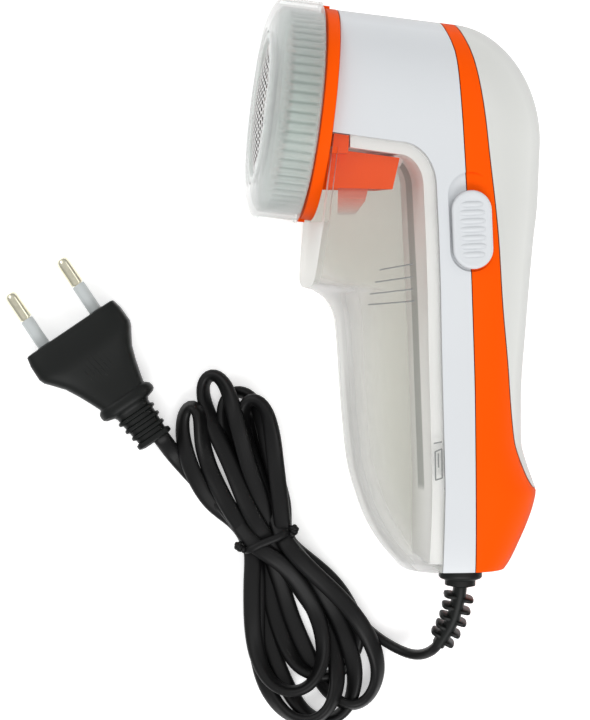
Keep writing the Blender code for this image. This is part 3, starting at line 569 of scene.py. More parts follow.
CORD_WIDTH = 5.2
CORD_THICKNESS = 3.1
CORD_STEP = 2.4
CORD_FINE_STEP = 1.2
CORD_SIDES = 18
CORD_CLEAR = 0.05
CORD_TO_CORD = 0.12
NEIGHBOURS = 6
SINK, LATE_SINK = 0.16, 0.05
STIFF_UP, STIFF_ACROSS = 0.45, 0.2
PULL_BACK = 0.16
PUSH_SHARE, PUSH_ACROSS = 0.3, 0.3
LARGEST_PUSH, LARGEST_MOVE = 0.8, 0.9
LEAD_ON_EDGE = 46.0
PLUG_FACE = (-95.8, -11.5)
PLUG_HEADING = (-0.56, 0.828)
PLUG_MID_Z = 7.0

RELIEF_TIP = [(16.0, -102.2, 17.6), (14.0, -105.5, 16.6)]
LEAD_IN = [(12.0, -108.4, 14.9), (8.0, -109.9, 12.0), (3.0, -108.2, 8.0), (-2.9, -105.0, 4.0),
           (-7.4, -101.4, 2.6), (-11.9, -96.6, 2.4), (-16.4, -92.4, 2.4), (-22.4, -87.0, 2.4),
           (-27.5, -81.0, 2.4)]
TIE_CENTRE = (-36.9, -75.2)
TIE_ALONG = (0.956, 0.293)
TIE_COLUMNS = {"L": -4.0, "C": 0.2, "R": 4.4}

# Each run of the hank, round one end of it: its column under the tie, then its course over the table.
HANK = [
    ("R", [(-34.0, -64.4), (-36.2, -53.9), (-38.4, -45.0), (-40.0, -38.0), (-41.4, -34.3), (-44.2, -33.9),
           (-46.0, -37.6), (-45.4, -46.0), (-42.6, -54.9), (-39.4, -62.9)]),
    ("C", [(-37.7, -84.6), (-36.4, -95.6), (-33.4, -104.6), (-28.4, -112.8), (-20.6, -116.6), (-12.6, -114.4),
           (-8.9, -102.6), (-12.5, -94.8), (-20.3, -86.1), (-26.9, -79.8)]),
    ("R", [(-32.6, -65.9), (-34.7, -55.4), (-37.1, -43.4), (-40.7, -32.9), (-45.5, -28.7), (-50.3, -32.0),
           (-50.3, -40.4), (-46.1, -52.4), (-41.3, -64.4)]),
    ("C", [(-39.5, -82.8), (-38.3, -94.5), (-35.0, -108.0), (-30.2, -121.0), (-23.6, -129.4), (-17.0, -129.8),
           (-12.0, -125.5), (-10.2, -116.5), (-12.2, -105.0), (-16.7, -94.5), (-24.5, -83.1)]),
    ("R", [(-32.4, -66.8), (-33.8, -55.7), (-35.0, -44.9), (-36.6, -36.0), (-39.8, -31.0), (-43.4, -31.6),
           (-45.0, -36.8), (-42.8, -47.3), (-38.3, -58.4), (-33.5, -66.8)]),
    ("R", [(-27.5, -80.3), (-20.4, -87.0), (-13.4, -93.6), (-7.6, -101.6), (-3.6, -110.0), (-3.4, -118.2),
           (-8.4, -125.2), (-15.2, -124.6), (-21.4, -116.0), (-26.9, -105.0), (-31.4, -94.8),
           (-34.4, -84.6)]),
    ("C", [(-38.3, -64.4), (-41.9, -53.9), (-45.1, -41.4), (-48.4, -29.5), (-53.0, -23.2), (-57.2, -27.6),
           (-55.0, -35.9), (-48.3, -50.9), (-42.6, -64.4)]),
    ("C", [(-31.7, -82.8), (-24.5, -93.0), (-19.1, -101.4), (-16.1, -111.0), (-15.8, -121.5), (-20.2, -128.6),
           (-27.0, -129.8), (-32.6, -126.4), (-37.4, -119.0), (-39.4, -108.0), (-39.9, -96.0),
           (-39.8, -84.0)]),
    ("L", [(-45.6, -69.6), (-52.6, -63.8), (-58.2, -56.6), (-61.3, -49.8), (-62.5, -43.0), (-62.4, -36.8),
           (-60.9, -32.9), (-58.4, -32.2), (-56.5, -35.2), (-56.4, -40.5), (-56.2, -46.5), (-54.6, -52.9),
           (-51.9, -59.0), (-48.0, -65.6)]),
    ("L", [(-41.2, -82.8), (-41.3, -94.5), (-40.7, -105.5), (-37.8, -115.4), (-32.4, -120.8), (-26.0, -120.6),
           (-21.2, -115.8), (-19.4, -107.4), (-21.8, -96.6), (-27.5, -86.1), (-34.1, -79.8)]),
]
TAIL_OUT = [(-45.0, -69.6), (-52.0, -63.4), (-56.8, -58.4), (-61.0, -53.6), (-64.3, -49.9), (-66.4, -47.1)]
PLUG_END = [(-67.9, -44.9, 7.0), (-71.0, -40.6, 7.0)]
RUN_RISE = 3.3
TIE_STEPS = 72
TIE_SWAY = 0.8
TIE_HALF_WIDTH = 1.1
TIE_HALF_THICK = 0.45


def under_tie(column, height):
    """Where a run passes through the tie, in one of its three columns."""
    offset = TIE_COLUMNS[column]
    return (TIE_CENTRE[0] + TIE_ALONG[0] * offset, TIE_CENTRE[1] + TIE_ALONG[1] * offset, height)


def cord_course():
    """The lead's centre line before it settles, each run of the hank a little above the one before."""
    route = list(RELIEF_TIP) + list(LEAD_IN)
    height = LEAD_IN[-1][2]
    for column, run in HANK:
        route.append(under_tie(column, height))
        for i, (x, y) in enumerate(run):
            route.append((x, y, height + RUN_RISE * (i + 1) / (len(run) + 1)))
        height += RUN_RISE
    route.append(under_tie("L", height))
    for i, (x, y) in enumerate(TAIL_OUT):
        share = (i + 1) / (len(TAIL_OUT) + 1)
        route.append((x, y, height + (PLUG_MID_Z - height) * share))
    return route + PLUG_END


def relaxed(values, rounds):
    """The same run of values with its unevenness taken out, the ends kept."""
    values = values.copy()
    for _ in range(rounds):
        values[1:-1] = (values[:-2] + 2.0 * values[1:-1] + values[2:]) / 4.0
    return values


def half_height(wide, thin):
    """How far the lead reaches above and below its centre line."""
    return np.sqrt((wide[:, 2] * CORD_WIDTH / 2) ** 2 + (thin[:, 2] * CORD_THICKNESS / 2) ** 2)


def cord_frames(points, rounds=30):
    """The wide and the thin direction of the flat lead: flat on straight runs, on edge round a bend."""
    ahead = np.gradient(points, axis=0)
    ahead /= np.linalg.norm(ahead, axis=1)[:, None]
    level = np.stack([ahead[:, 1], -ahead[:, 0], np.zeros(len(points))], axis=1)
    level /= np.maximum(np.linalg.norm(level, axis=1)[:, None], 1e-6)
    up = np.cross(level, ahead)
    step = np.linalg.norm(points[1] - points[0])
    turn = np.cross(ahead[:-1], ahead[1:])[:, 2] / max(step, 0.1)
    turn = np.concatenate([turn[:1], turn])
    turn = relaxed(np.abs(turn), 24)
    share = np.clip((turn - 0.02) / 0.07, 0.0, 1.0)
    share = relaxed(share * share * (3.0 - 2.0 * share), rounds)
    run = step * np.arange(len(points))
    share = np.maximum(share, np.clip((LEAD_ON_EDGE - run) / 12.0, 0.0, 1.0))
    angle = (share * math.pi / 2.0)[:, None]
    wide = level * np.cos(angle) + up * np.sin(angle)
    thin = np.cross(ahead, wide)
    return wide, thin, ahead


def settle(points, rounds):
    """Lets the lead sink on the table and on itself, keeping each run where it lies and out of the others."""
    points = points.copy()
    drawn = points[:, :2].copy()
    fixed = np.zeros(len(points), bool)
    fixed[:3] = True
    fixed[-3:] = True
    index = np.arange(len(points))
    apart = np.abs(index[:, None] - index[None, :]) > NEIGHBOURS
    held = points[fixed].copy()
    for turn in range(rounds):
        wide, thin, ahead = cord_frames(points)
        points[:, 2] -= SINK if turn < rounds * 0.8 else LATE_SINK
        middle = (points[:-2] + points[2:]) / 2.0
        points[1:-1, 2] += STIFF_UP * (middle[:, 2] - points[1:-1, 2])
        points[1:-1, :2] += STIFF_ACROSS * (middle[:, :2] - points[1:-1, :2])
        points[:, :2] += PULL_BACK * (drawn - points[:, :2])
        for _ in range(2):
            gap = points[None, :, :] - points[:, None, :]
            far = np.linalg.norm(gap, axis=2)
            first, second = np.nonzero((far < CORD_WIDTH + 0.4) & apart & (index[:, None] < index[None, :]))
            way = gap[first, second]
            span = np.maximum(far[first, second], 1e-3)
            way /= span[:, None]
            need = CORD_TO_CORD
            for side in (first, second):
                need = need + np.sqrt((np.sum(way * wide[side], axis=1) * CORD_WIDTH / 2) ** 2
                                      + (np.sum(way * thin[side], axis=1) * CORD_THICKNESS / 2) ** 2
                                      + (np.sum(way * ahead[side], axis=1) * CORD_THICKNESS / 2) ** 2)
            push = np.clip(need - span, 0.0, LARGEST_PUSH)[:, None] * way * PUSH_SHARE
            move = np.zeros_like(points)
            np.add.at(move, first, -push)
            np.add.at(move, second, push)
            move[:, :2] *= PUSH_ACROSS
            points += np.clip(move, -LARGEST_MOVE, LARGEST_MOVE)
        points[:, 2] = np.maximum(points[:, 2], half_height(wide, thin) + CORD_CLEAR)
        points[fixed] = held
    for axis, rounds_of_it in ((0, 3), (1, 3), (2, 10)):
        points[2:-2, axis] = relaxed(points[2:-2, axis], rounds_of_it)
    return points


def cord_ring(wide, thin, centre):
    """A flat oval slice with a shallow waist down the middle of each face."""
    ring = []
    for c, s in round_turn(CORD_SIDES):
        across = CORD_WIDTH / 2 * squared(c, 0.85)
        waist = 1.0 - 0.1 * math.exp(-(across / 0.7) ** 2)
        through = CORD_THICKNESS / 2 * squared(s, 0.75) * waist
        ring.append(Vector(centre + wide * across + thin * through))
    return ring


course = even(spline(cord_course(), 12), CORD_STEP)
course = settle(course, 260)
cord_line = even(spline([tuple(point) for point in course], 3), CORD_FINE_STEP)
for axis in (0, 1):
    cord_line[:, axis] = relaxed(cord_line[:, axis], 6)
wide, thin, _ = cord_frames(cord_line, 120)
cord_line[:, 2] = np.maximum(cord_line[:, 2], relaxed(half_height(wide, thin) + CORD_CLEAR, 4))
cord_rings = [cord_ring(*frame_at) for frame_at in zip(wide, thin, cord_line)]
cord = loft("mains_lead", cord_rings, "black_pvc", None, 60.0)
piece(cord, "casing", "black_pvc", "cord_lead", "cord_hank", "cord_tail")


def tie_band(centre, along, through, low, high, top):
    """The closed band of the tie: a flat strip round the waist of the hank."""
    mid, half = (low + high) / 2, (high - low) / 2
    band = []
    for c, s in round_turn(TIE_STEPS):
        point = centre + along * (mid + half * squared(c, 0.55)) + through * (TIE_SWAY * 2.0 * s * c)
        point[2] = max(top / 2 + (top / 2 + 0.25) * squared(s, 0.6), 0.5)
        band.append(point)
    rings = []
    for i, point in enumerate(band):
        ahead = Vector(band[(i + 1) % TIE_STEPS] - band[i - 1]).normalized()
        side = Vector(through)
        side = (side - ahead * side.dot(ahead)).normalized()
        out = ahead.cross(side)
        rings.append([Vector(point) + side * (TIE_HALF_WIDTH * c) + out * (TIE_HALF_THICK * s)
                      for c, s in round_turn(10)])
    return rings


def make_tie():
    """A twist tie round the waist of the hank, with its two twisted ends."""
    centre = np.array((*TIE_CENTRE, 0.0))
    along = np.array((*TIE_ALONG, 0.0))
    through = np.array((-TIE_ALONG[1], TIE_ALONG[0], 0.0))
    near = cord_line[np.abs((cord_line - centre) @ through) < 1.2]
    near = near[np.abs((near - centre) @ along) < 16.0]
    sides = (near - centre) @ along
    margin = CORD_THICKNESS / 2 + 0.5
    low, high, top = sides.min() - margin, sides.max() + margin, near[:, 2].max() + margin
    mesh = bmesh.new()
    add_rings(mesh, tie_band(centre, along, through, low, high, top), closed=True)
    for end, sign in ((high, 1.0), (low, -1.0)):
        for phase in (0.0, math.pi):
            wire = []
            for share in np.linspace(0.0, 1.0, 25):
                turn = phase + share * math.tau * 1.6
                swell = 0.45 + 0.25 * math.sin(share * math.pi)
                base = centre + along * (end - 0.6 * sign + sign * 1.7 * math.sin(share * 2.2))
                base = base + through * (0.4 + 2.6 * (share - 0.4))
                base[2] = top - 1.6 + 0.2 * share
                wire.append(Vector(base) + Vector(along) * (swell * math.cos(turn) * sign)
                            + Vector((0.0, 0.0, 1.0)) * (swell * math.sin(turn)))
            add_tube(mesh, wire, 0.75)
    return new_object("twist_tie", mesh, "black_pvc", None, 60.0)


tie = piece(make_tie(), "casing", "black_pvc", "cord_tie")


# ---------------------------------------------------------------- strain relief and plug

RELIEF_LINE = [(20.3, -76.0, 0.0), (20.3, -84.0, 0.0), (20.0, -90.0, -0.6), (18.2, -98.0, -2.6),
               (14.6, -105.0, -5.2)]
FLANGE_START, FLANGE_END, NECK_END, CORE_START = 5.3, 9.1, 11.0, 13.2
RIB_START, RIB_PITCH, RIB_SHIFT = 14.0, 3.45, 0.7
RIB_SLICES = [(-0.62, 0.84), (-0.45, 0.96), (0.0, 1.0), (0.45, 0.96), (0.62, 0.84)]
PLUG_STRETCH = 1.025
PIN_OFFSET = 9.3
NECK_RIBS = 4
GRIP_COUNT = 6
PLUG_PROFILE = [(0.0, 15.0, 5.4, 0.3), (0.25, 15.5, 6.0, 0.3), (3.0, 16.1, 6.5, 0.3), (7.6, 16.2, 6.8, 0.35),
                (9.2, 15.6, 6.75, 0.4), (11.0, 14.2, 6.5, 0.42), (14.2, 11.9, 5.9, 0.45),
                (18.0, 10.2, 5.4, 0.5), (22.0, 8.7, 5.1, 0.5), (24.6, 7.8, 4.9, 0.55), (25.0, 7.9, 4.9, 0.6),
                (25.4, 8.5, 5.3, 0.7), (26.0, 9.0, 5.5, 0.75), (27.0, 9.2, 5.5, 0.8), (28.0, 9.0, 5.4, 0.75),
                (28.6, 8.2, 5.0, 0.7), (29.2, 6.0, 4.4, 0.7), (30.0, 5.5, 4.2, 0.7), (40.9, 4.5, 3.6, 0.7),
                (41.3, 4.2, 3.2, 0.7)]
SLEEVE_PROFILE = [(1.74, 0.3), (2.0, 0.3), (2.0, 9.3), (1.94, 9.55), (1.74, 9.6)]
PIN_PROFILE = [(0.02, 0.4), (1.45, 0.4), (1.45, 9.9), (1.98, 9.9), (2.0, 10.0), (2.0, 17.2), (1.93, 17.9),
               (1.7, 18.45), (1.3, 18.8), (0.7, 18.97), (0.02, 19.0)]


def relief_half_size(s, total):
    """Half the width and half the thickness of the strain relief at a distance along it."""
    if s < FLANGE_START:
        return 3.55, 3.55
    if s < FLANGE_END:
        rim = min(1.0, 0.9 + 0.2 * min(s - FLANGE_START, FLANGE_END - s))
        return 6.4 * rim, 4.8 * rim
    if s < NECK_END:
        return 4.5, 3.8
    share = max(s - CORE_START, 0.0) / (total - CORE_START)
    return 2.0 - 0.1 * share, 3.0 - 0.15 * share


def make_strain_relief():
    """The sleeve at the tail: two flanges, then a curved core with ribs left and right by turns."""
    line = even(spline(RELIEF_LINE, 12), 0.5)
    run = np.concatenate([[0.0], np.cumsum(np.linalg.norm(np.diff(line, axis=0), axis=1))])
    mesh = bmesh.new()
    rings = []
    for i, centre in enumerate(line):
        half_wide, half_thick = relief_half_size(run[i], run[-1])
        _, out, over = directions(line, i)
        rings.append([Vector(centre) + out * (half_wide * squared(c, 0.8))
                      + over * (half_thick * squared(s, 0.8)) for c, s in round_turn(28)])
    add_rings(mesh, rings)
    for rib in range(5):
        for side in (-1.0, 1.0):
            i = int(np.searchsorted(run, RIB_START + RIB_PITCH * rib + (RIB_SHIFT if side < 0 else 0.0)))
            if i >= len(line) - 1:
                continue
            ahead, out, over = directions(line, i)
            reach = 4.5 - 0.1 * rib
            thick = 3.2 - 0.05 * rib
            ribs = []
            for step, size in RIB_SLICES:
                centre = Vector(line[i]) + ahead * step
                ribs.append([centre - out * (0.5 * reach * side * (1.0 + squared(c, 0.6) * size))
                             + over * (thick * squared(s, 0.6) * size) for c, s in round_turn(24)])
            add_rings(mesh, ribs)
    return new_object("cord_sleeve", mesh, "plug_pvc", POSE, 40.0)


relief = piece(make_strain_relief(), "casing", "plug_pvc", "strain_relief")


def plug_matrix():
    heading = Vector((*PLUG_HEADING, 0.0)).normalized()
    across = Vector((heading.y, -heading.x, 0.0))
    matrix = Matrix((across, Vector((0.0, 0.0, 1.0)), heading)).transposed().to_4x4()
    matrix.translation = Vector((*PLUG_FACE, PLUG_MID_Z)) * MM
    return matrix


PLUG = plug_matrix()


def plug_lean(back):
    """How far the grip and the neck lean to one side at a distance behind the plug's face."""
    return np.interp(back, (9.0, 15.0, 27.0, 41.0), (0.0, 0.7, 1.8, 2.5))


def oval(half, thick, power, back):
    """One slice of the plug, squared off the more the lower its power is."""
    lean = plug_lean(back)
    return [(lean + half * squared(c, power), thick * squared(s, power), -back * PLUG_STRETCH)
            for c, s in round_turn(48, 0.5)]


def make_plug():
    """The moulded plug: its flared grip, the bead behind it, and a neck with four raised ribs."""
    mesh = bmesh.new()
    add_rings(mesh, [oval(half, thick, power, back) for back, half, thick, power in PLUG_PROFILE])
    for rib in range(NECK_RIBS):
        back = 30.9 + rib * 2.75
        swell, length = (0.9, 2.0) if rib == NECK_RIBS - 1 else (0.45, 1.6)
        reach = 5.8 - 0.32 * rib + swell
        depth = 4.8 - 0.15 * rib
        steps = [(0.0, 0.84), (0.35, 0.98), (length / 2, 1.0), (length - 0.35, 0.98), (length, 0.84)]
        add_rings(mesh, [oval(reach * size, depth * size, 0.55, back + step) for step, size in steps])
    for line in range(GRIP_COUNT):
        x = (line - (GRIP_COUNT - 1) / 2) * 1.5
        points = [Vector((x + plug_lean(back), 6.5 - 0.02 * abs(x) - max(back - 9.0, 0.0) * 0.155, -back))
                  for back in np.linspace(10.2, 19.6, 12)]
        add_tube(mesh, points, 0.42)
        add_tube(mesh, [Vector((p.x, -p.y, p.z)) for p in points], 0.42)
    for side in (-1, 1):
        add_rings(mesh, [[(side * PIN_OFFSET + r * c, r * s, z) for c, s in round_turn(24)]
                         for r, z in ((2.7, -0.4), (2.7, 0.12), (2.3, 0.28))])
    return new_object("plug_moulding", mesh, "plug_pvc", PLUG, 35.0)


plug = piece(make_plug(), "casing", "plug_pvc", "plug_body")
for number, side in enumerate((-1, 1), 1):
    spot = PLUG @ Matrix.Translation(Vector((side * PIN_OFFSET, 0.0, 0.0)) * MM)
    sleeve = turned(f"pin_insulation_{number}", SLEEVE_PROFILE, 48, "sleeve_grey", spot)
    piece(sleeve, "casing", "sleeve_grey", f"pin_sleeve_{number}")
    pin = turned(f"contact_pin_{number}", PIN_PROFILE, 48, "pin_brass", spot)
    piece(pin, "casing", "pin_brass", f"plug_pin_{number}")


# ---------------------------------------------------------------- casing, by the CAD's rules but finer

BARREL_RADIUS = 30.1
DOME_X = 18.5
DOME_DEPTH = 25.0
HEAD_RISE = 31.2
FLANK_TAPER = 0.0036
BODY_BOTTOM = -81.3
GAP = 0.3
BOX_WALL = 1.8
LEDGE_INSET = 2.35
SHELL_WALL = 2.0
COVER_WALL = 1.6
LEDGE_DEPTH = 3.4
LEDGE_WALL = 1.6
LIP_SET_BACK = 0.8
LIP_TOP = 20.0
RIM_TOP = 41.5
RIM_DEPTH = 5.0
MOTOR_RADIUS = 10.2
BUTTON_X = 19.4
BUTTON_Y = 17.8
BUTTON_LEAN = math.radians(2.5)
BUTTON_LENGTH = 22.6
BUTTON_WIDTH = 11.5
BUTTON_TRAVEL = 4.4
QUARTER_STEPS = 14
LEVEL_SPLIT = 3
DOME_STEPS = 22

FRONT_EDGE = [(-83.5, 5.0), (-82.3, 3.6), (-79.4, 0.8), (-73.5, -4.1), (-67.6, -7.6), (-61.8, -10.0),
              (-50.0, -13.2), (-32.4, -15.0), (-8.8, -16.8), (-5.9, -17.6), (-2.9, -19.4), (0.0, -23.2),
              (1.5, -28.5), (3.0, -31.8), (6.0, -34.5), (19.0, -43.0), (26.0, -75.0)]
BACK_EDGE = [(-83.5, 31.0), (-79.4, 34.1), (-73.5, 37.1), (-67.6, 39.7), (-61.8, 41.6), (-58.8, 42.1),
             (-55.9, 41.2), (-50.0, 39.1), (-44.1, 37.7), (-32.4, 37.6), (-8.8, 39.1), (14.7, 41.0),
             (30.0, 42.5), (51.2, 43.5)]
HALF_WIDTH = [(-83.5, 19.5), (-82.3, 21.3), (-79.4, 22.4), (-70.0, 23.4), (-50.0, 24.0), (-20.0, 24.6),
              (0.0, 26.2), (19.0, 28.2), (35.0, 29.4), (51.2, 30.1)]
FRONT_ROUND = [(-83.5, 10.0), (-70.0, 19.0), (-20.0, 20.0), (0.0, 24.0), (26.0, 26.0)]
BACK_ROUND = [(-83.5, 13.0), (-70.0, 18.0), (-20.0, 19.0), (51.2, 25.0)]
SKIN_LEVELS = [-82.3, -79.4, -74.0, -67.6, -61.8, -58.8, -55.0, -50.0, -44.1, -32.4, -20.0, -8.8, -5.9,
               -2.9, -1.0, 0.6, 2.2, 4.5, 9.0, 15.0, 20.0, 26.0, 36.0, 51.2]
PARTING_LINE = [(-95.0, 21.7), (-32.4, 21.0), (5.9, 19.4), (36.8, 17.6), (54.4, 16.5), (67.6, 15.9),
                (78.0, 13.5), (95.0, 9.6)]
COVER_LINE = [(-59.6, 46.0), (-57.5, 40.0), (-51.5, 36.4), (-42.6, 33.4), (-20.6, 31.0), (-2.9, 28.9),
              (19.1, 27.1), (41.2, 24.6), (58.8, 22.4), (67.6, 20.9), (78.0, 17.6), (95.0, 12.0)]
BOSSES = [(69.0, 9.5), (69.0, -9.5), (-68.0, 14.0), (-68.0, -14.0)]
SCREW_HEAD_X = {69.0: 18.0, -68.0: 29.0}
SCREW_TIP_X = {69.0: 4.0, -68.0: 14.5}
FRONT_BOSS, REAR_BOSS = 3.3, 3.6
THREAD_HOLE, CLEAR_HOLE, SCREW_WELL = 1.5, 1.7, 2.8
RIGHT_EDGE = [(60.0, -95.0), (60.0, 95.0)]
BEHIND = [(60.0, 95.0), (60.0, -95.0)]
OUTLET_X = 20.3
CHUTE_STEP_X = -15.9
CHUTE_HALF = 20.0
CORNER_X, CORNER_Y = -1.5, 30.0
CORNER_REACH_X, CORNER_REACH_Y = 10.6, 12.8
GRIP_LINES = [((-7.2, 6.3), (2.3, 8.0)), ((-8.4, 2.8), (2.3, 4.3)), ((-9.6, -0.6), (2.3, 0.8)),
              ((-9.8, -3.7), (2.9, -2.6))]
LATCH_LINES = [((9.0, -43.6), (11.2, -43.2)), ((9.3, -46.0), (11.2, -45.2)), ((9.3, -46.0), (9.5, -54.2)),
               ((11.2, -45.2), (11.4, -53.6)), ((9.5, -54.2), (11.4, -53.6)), ((10.2, -46.6), (10.3, -50.5))]


def curve_through(keys, at):
    """A smooth value at one place of a list of (place, value) keys in rising order."""
    places = [key[0] for key in keys]
    values = [key[1] for key in keys]
    if at <= places[0]:
        return values[0]
    if at >= places[-1]:
        return values[-1]
    i = max(k for k in range(len(keys) - 1) if places[k] <= at)
    steps = [(values[k + 1] - values[k]) / (places[k + 1] - places[k]) for k in range(len(keys) - 1)]
    slopes = []
    for k in (i, i + 1):
        before = steps[max(k - 1, 0)]
        after = steps[min(k, len(steps) - 1)]
        slopes.append(0.0 if before * after <= 0.0 else 2.0 * before * after / (before + after))
    width = places[i + 1] - places[i]
    s = (at - places[i]) / width
    return ((2 * s**3 - 3 * s**2 + 1) * values[i] + (s**3 - 2 * s**2 + s) * width * slopes[0]
            + (3 * s**2 - 2 * s**3) * values[i + 1] + (s**3 - s**2) * width * slopes[1])


def skin_section(level, inset):
    """One slice of the body's outside, or of the same skin set in by a wall."""
    if level > HEAD_Y:
        rise = min((level - HEAD_Y) / (HEAD_RISE - inset), 0.9999)
        swell = math.sqrt(1.0 - rise * rise)
        half = (BARREL_RADIUS - inset) * swell
        back_round = (DOME_DEPTH - inset) * swell
        back = DOME_X + back_round
    else:
        half = curve_through(HALF_WIDTH, level) - inset
        back = curve_through(BACK_EDGE, level) - inset
        back_round = curve_through(BACK_ROUND, level) - inset
    front = curve_through(FRONT_EDGE, level) + inset
    front_round = curve_through(FRONT_ROUND, level) - inset
    headness = smooth_step(level, 0.0, 50.0)
    power = 2.0 / (2.35 - 0.35 * headness)
    upper = []
    for i in range(QUARTER_STEPS + 1):
        angle = math.pi / 2 * i / QUARTER_STEPS
        upper.append((front + front_round - front_round * math.cos(angle) ** power,
                      half * math.sin(angle) ** power))
    for i in range(QUARTER_STEPS + 1):
        angle = math.pi / 2 * (1.0 - i / QUARTER_STEPS)
        upper.append((back - back_round + back_round * math.cos(angle) ** power,
                      half * math.sin(angle) ** power))
    ring = upper + [(x, -z) for x, z in reversed(upper[1:-1])]
    lean = math.tan(HEAD_TILT) * headness
    section = []
    for x, z in ring:
        taper = 1.0 - FLANK_TAPER * max(x - HEAD_X, 0.0) * (0.25 + 0.75 * headness)
        section.append((x, level - lean * (x - HEAD_X), z * taper))
    return section


def skin(inset=0.0):
    """The body's outside as a solid, or what is left of it inside a wall."""
    bottom = BODY_BOTTOM + inset
    keys = [bottom] + [level for level in SKIN_LEVELS if level > bottom + 0.4]
    levels = []
    for low, high in zip(keys, keys[1:]):
        levels += [low + (high - low) * k / LEVEL_SPLIT for k in range(LEVEL_SPLIT)]
    for k in range(DOME_STEPS + 1):
        levels.append(HEAD_Y + (HEAD_RISE - inset) * math.sin(math.radians(88.5 * k / DOME_STEPS)))
    return loft("skin", [skin_section(level, inset) for level in levels])


def collar_plane(y, set_back=0.0):
    """Where the plane behind the collar lies at a height, leaning with the head."""
    return HEAD_X + math.tan(HEAD_TILT) * (y - HEAD_Y) + set_back


def box_seam(offset):
    """The lint box's edge from the collar round the corner and down to the tail, moved out by an offset."""
    points = [(-60.0, 50.6 + offset), (CORNER_X, CORNER_Y + CORNER_REACH_Y + offset)]
    for i in range(1, 15):
        angle = math.radians(90.0 - 6.0 * i)
        points.append((CORNER_X + (CORNER_REACH_X + offset) * math.cos(angle),
                       CORNER_Y + (CORNER_REACH_Y + offset) * math.sin(angle)))
    points += [(10.5 + offset, 0.0), (12.3 + offset, -57.0), (11.6 + offset, -95.0)]
    return points


def under_box(x, y, _):
    """Whether a place on the front shell lies behind the clear lint box."""
    if y <= CORNER_Y + 1.3:
        return x < np.interp(y, (-95.0, -57.0, 0.0, CORNER_Y + 1.3), (11.6, 12.3, 10.5, 9.04)) + 0.1
    if x > CORNER_X:
        across = (x - CORNER_X) / (CORNER_REACH_X + 0.1)
        return across**2 + ((y - CORNER_Y) / (CORNER_REACH_Y + 0.1)) ** 2 < 1.0
    return y < 42.9 - 0.1333 * (x - CORNER_X)


def seam(line, offset, places):
    return [(curve_through(line, y) + offset, y) for y in places]


def parting(offset):
    return seam(PARTING_LINE, offset, np.linspace(-95.0, 95.0, 60))


def cover_line(offset):
    return seam(COVER_LINE, offset, [*np.linspace(-59.6, -40.0, 16), *np.linspace(-37.0, 95.0, 44)])


def right_of_seam(offset, right):
    return prism("region", box_seam(offset)[::-1] + [(-60.0, 95.0)] + right[::-1])


def front_of_collar():
    return prism("ahead", [(-120.0, -95.0), (collar_plane(-95.0, GAP), -95.0),
                           (collar_plane(95.0, GAP), 95.0), (-120.0, 95.0)])


def head_point(t):
    """A place on the head's axis, some way ahead of its middle."""
    return (HEAD_X - math.cos(HEAD_TILT) * t, HEAD_Y + math.sin(HEAD_TILT) * t, 0.0)


def button_point(x, y):
    return (BUTTON_X + x * math.cos(BUTTON_LEAN) - y * math.sin(BUTTON_LEAN),
            BUTTON_Y + x * math.sin(BUTTON_LEAN) + y * math.cos(BUTTON_LEAN))


def stadium(width, length, centre_y=0.0, steps=20):
    """A slot's outline with round ends, in the button's place and lean."""
    points = []
    radius = width / 2
    reach = length / 2 - radius
    for end, start in ((1, 0.0), (-1, 180.0)):
        for i in range(steps + 1):
            angle = math.radians(start + 180.0 * i / steps)
            along = centre_y + end * reach + radius * math.sin(angle)
            points.append(button_point(radius * math.cos(angle), along))
    return points


def recess_cutters():
    recess = prism("recess", stadium(13.0, BUTTON_LENGTH + BUTTON_TRAVEL + 1.6, BUTTON_TRAVEL / 2), 25.1)
    slot = prism("slot", stadium(4.4, 12.5, BUTTON_TRAVEL / 2), 12.0)
    return recess, slot


def boss_rib(y, z, low_x, high_x, inset):
    """A thin wall from a screw boss out toward the nearer end of the body."""
    ends = sorted((y, y + math.copysign(16.0, y)))
    return both(block("rib", (low_x, ends[0], z - 0.7), (high_x, ends[1], z + 0.7)), skin(inset))


def outlet_cutter():
    return rod("outlet", (OUTLET_X, BODY_BOTTOM + 12.0, 0.0), (OUTLET_X, BODY_BOTTOM - 5.0, 0.0), 4.0)


def make_front_shell():
    shell = cut(both(skin(), right_of_seam(GAP / 2, parting(-GAP / 2))), front_of_collar())
    ledge = cut(both(skin(LEDGE_INSET), prism("strip", box_seam(-LEDGE_DEPTH)[::-1] + box_seam(1.2))),
                front_of_collar())
    ledge = cut(ledge, prism("notch", [(-40.0, 30.0), (CHUTE_STEP_X + 0.3, 30.0), (CHUTE_STEP_X + 0.3, 60.0),
                                       (-40.0, 60.0)]))
    shell = join(shell, ledge)
    for wall, offset in ((LEDGE_INSET + LEDGE_WALL, LEDGE_WALL - LEDGE_DEPTH), (SHELL_WALL, LEDGE_WALL)):
        shell = cut(shell, both(skin(wall), right_of_seam(offset, RIGHT_EDGE)))
    shell = cut(shell, outlet_cutter())
    shell = join(shell, rod("sleeve", head_point(-2.7), head_point(-24.0), MOTOR_RADIUS + 2.2, 48))
    shell = cut(shell, rod("bore", head_point(4.0), head_point(-46.0), MOTOR_RADIUS + 0.6, 48))
    for y, z in BOSSES:
        end = curve_through(PARTING_LINE, y + 3.6) - GAP
        shell = join(shell, rod("boss", (SCREW_TIP_X[y] - 1.5, y, z), (end, y, z), FRONT_BOSS, 24))
        shell = join(shell, boss_rib(y, z, SCREW_TIP_X[y] - 1.0, end - 2.0, 1.0))
        shell = cut(shell, rod("hole", (SCREW_TIP_X[y] - 0.4, y, z), (60.0, y, z), THREAD_HOLE, 16))
    for cutter in recess_cutters():
        shell = cut(shell, cutter)
    # Behind the lint box the front shell takes painted light, with a stripe of painted shade.
    return second_finish(coat(shell, "white_casing"), INSIDE_LIGHT_AND_SHADE, under_box)


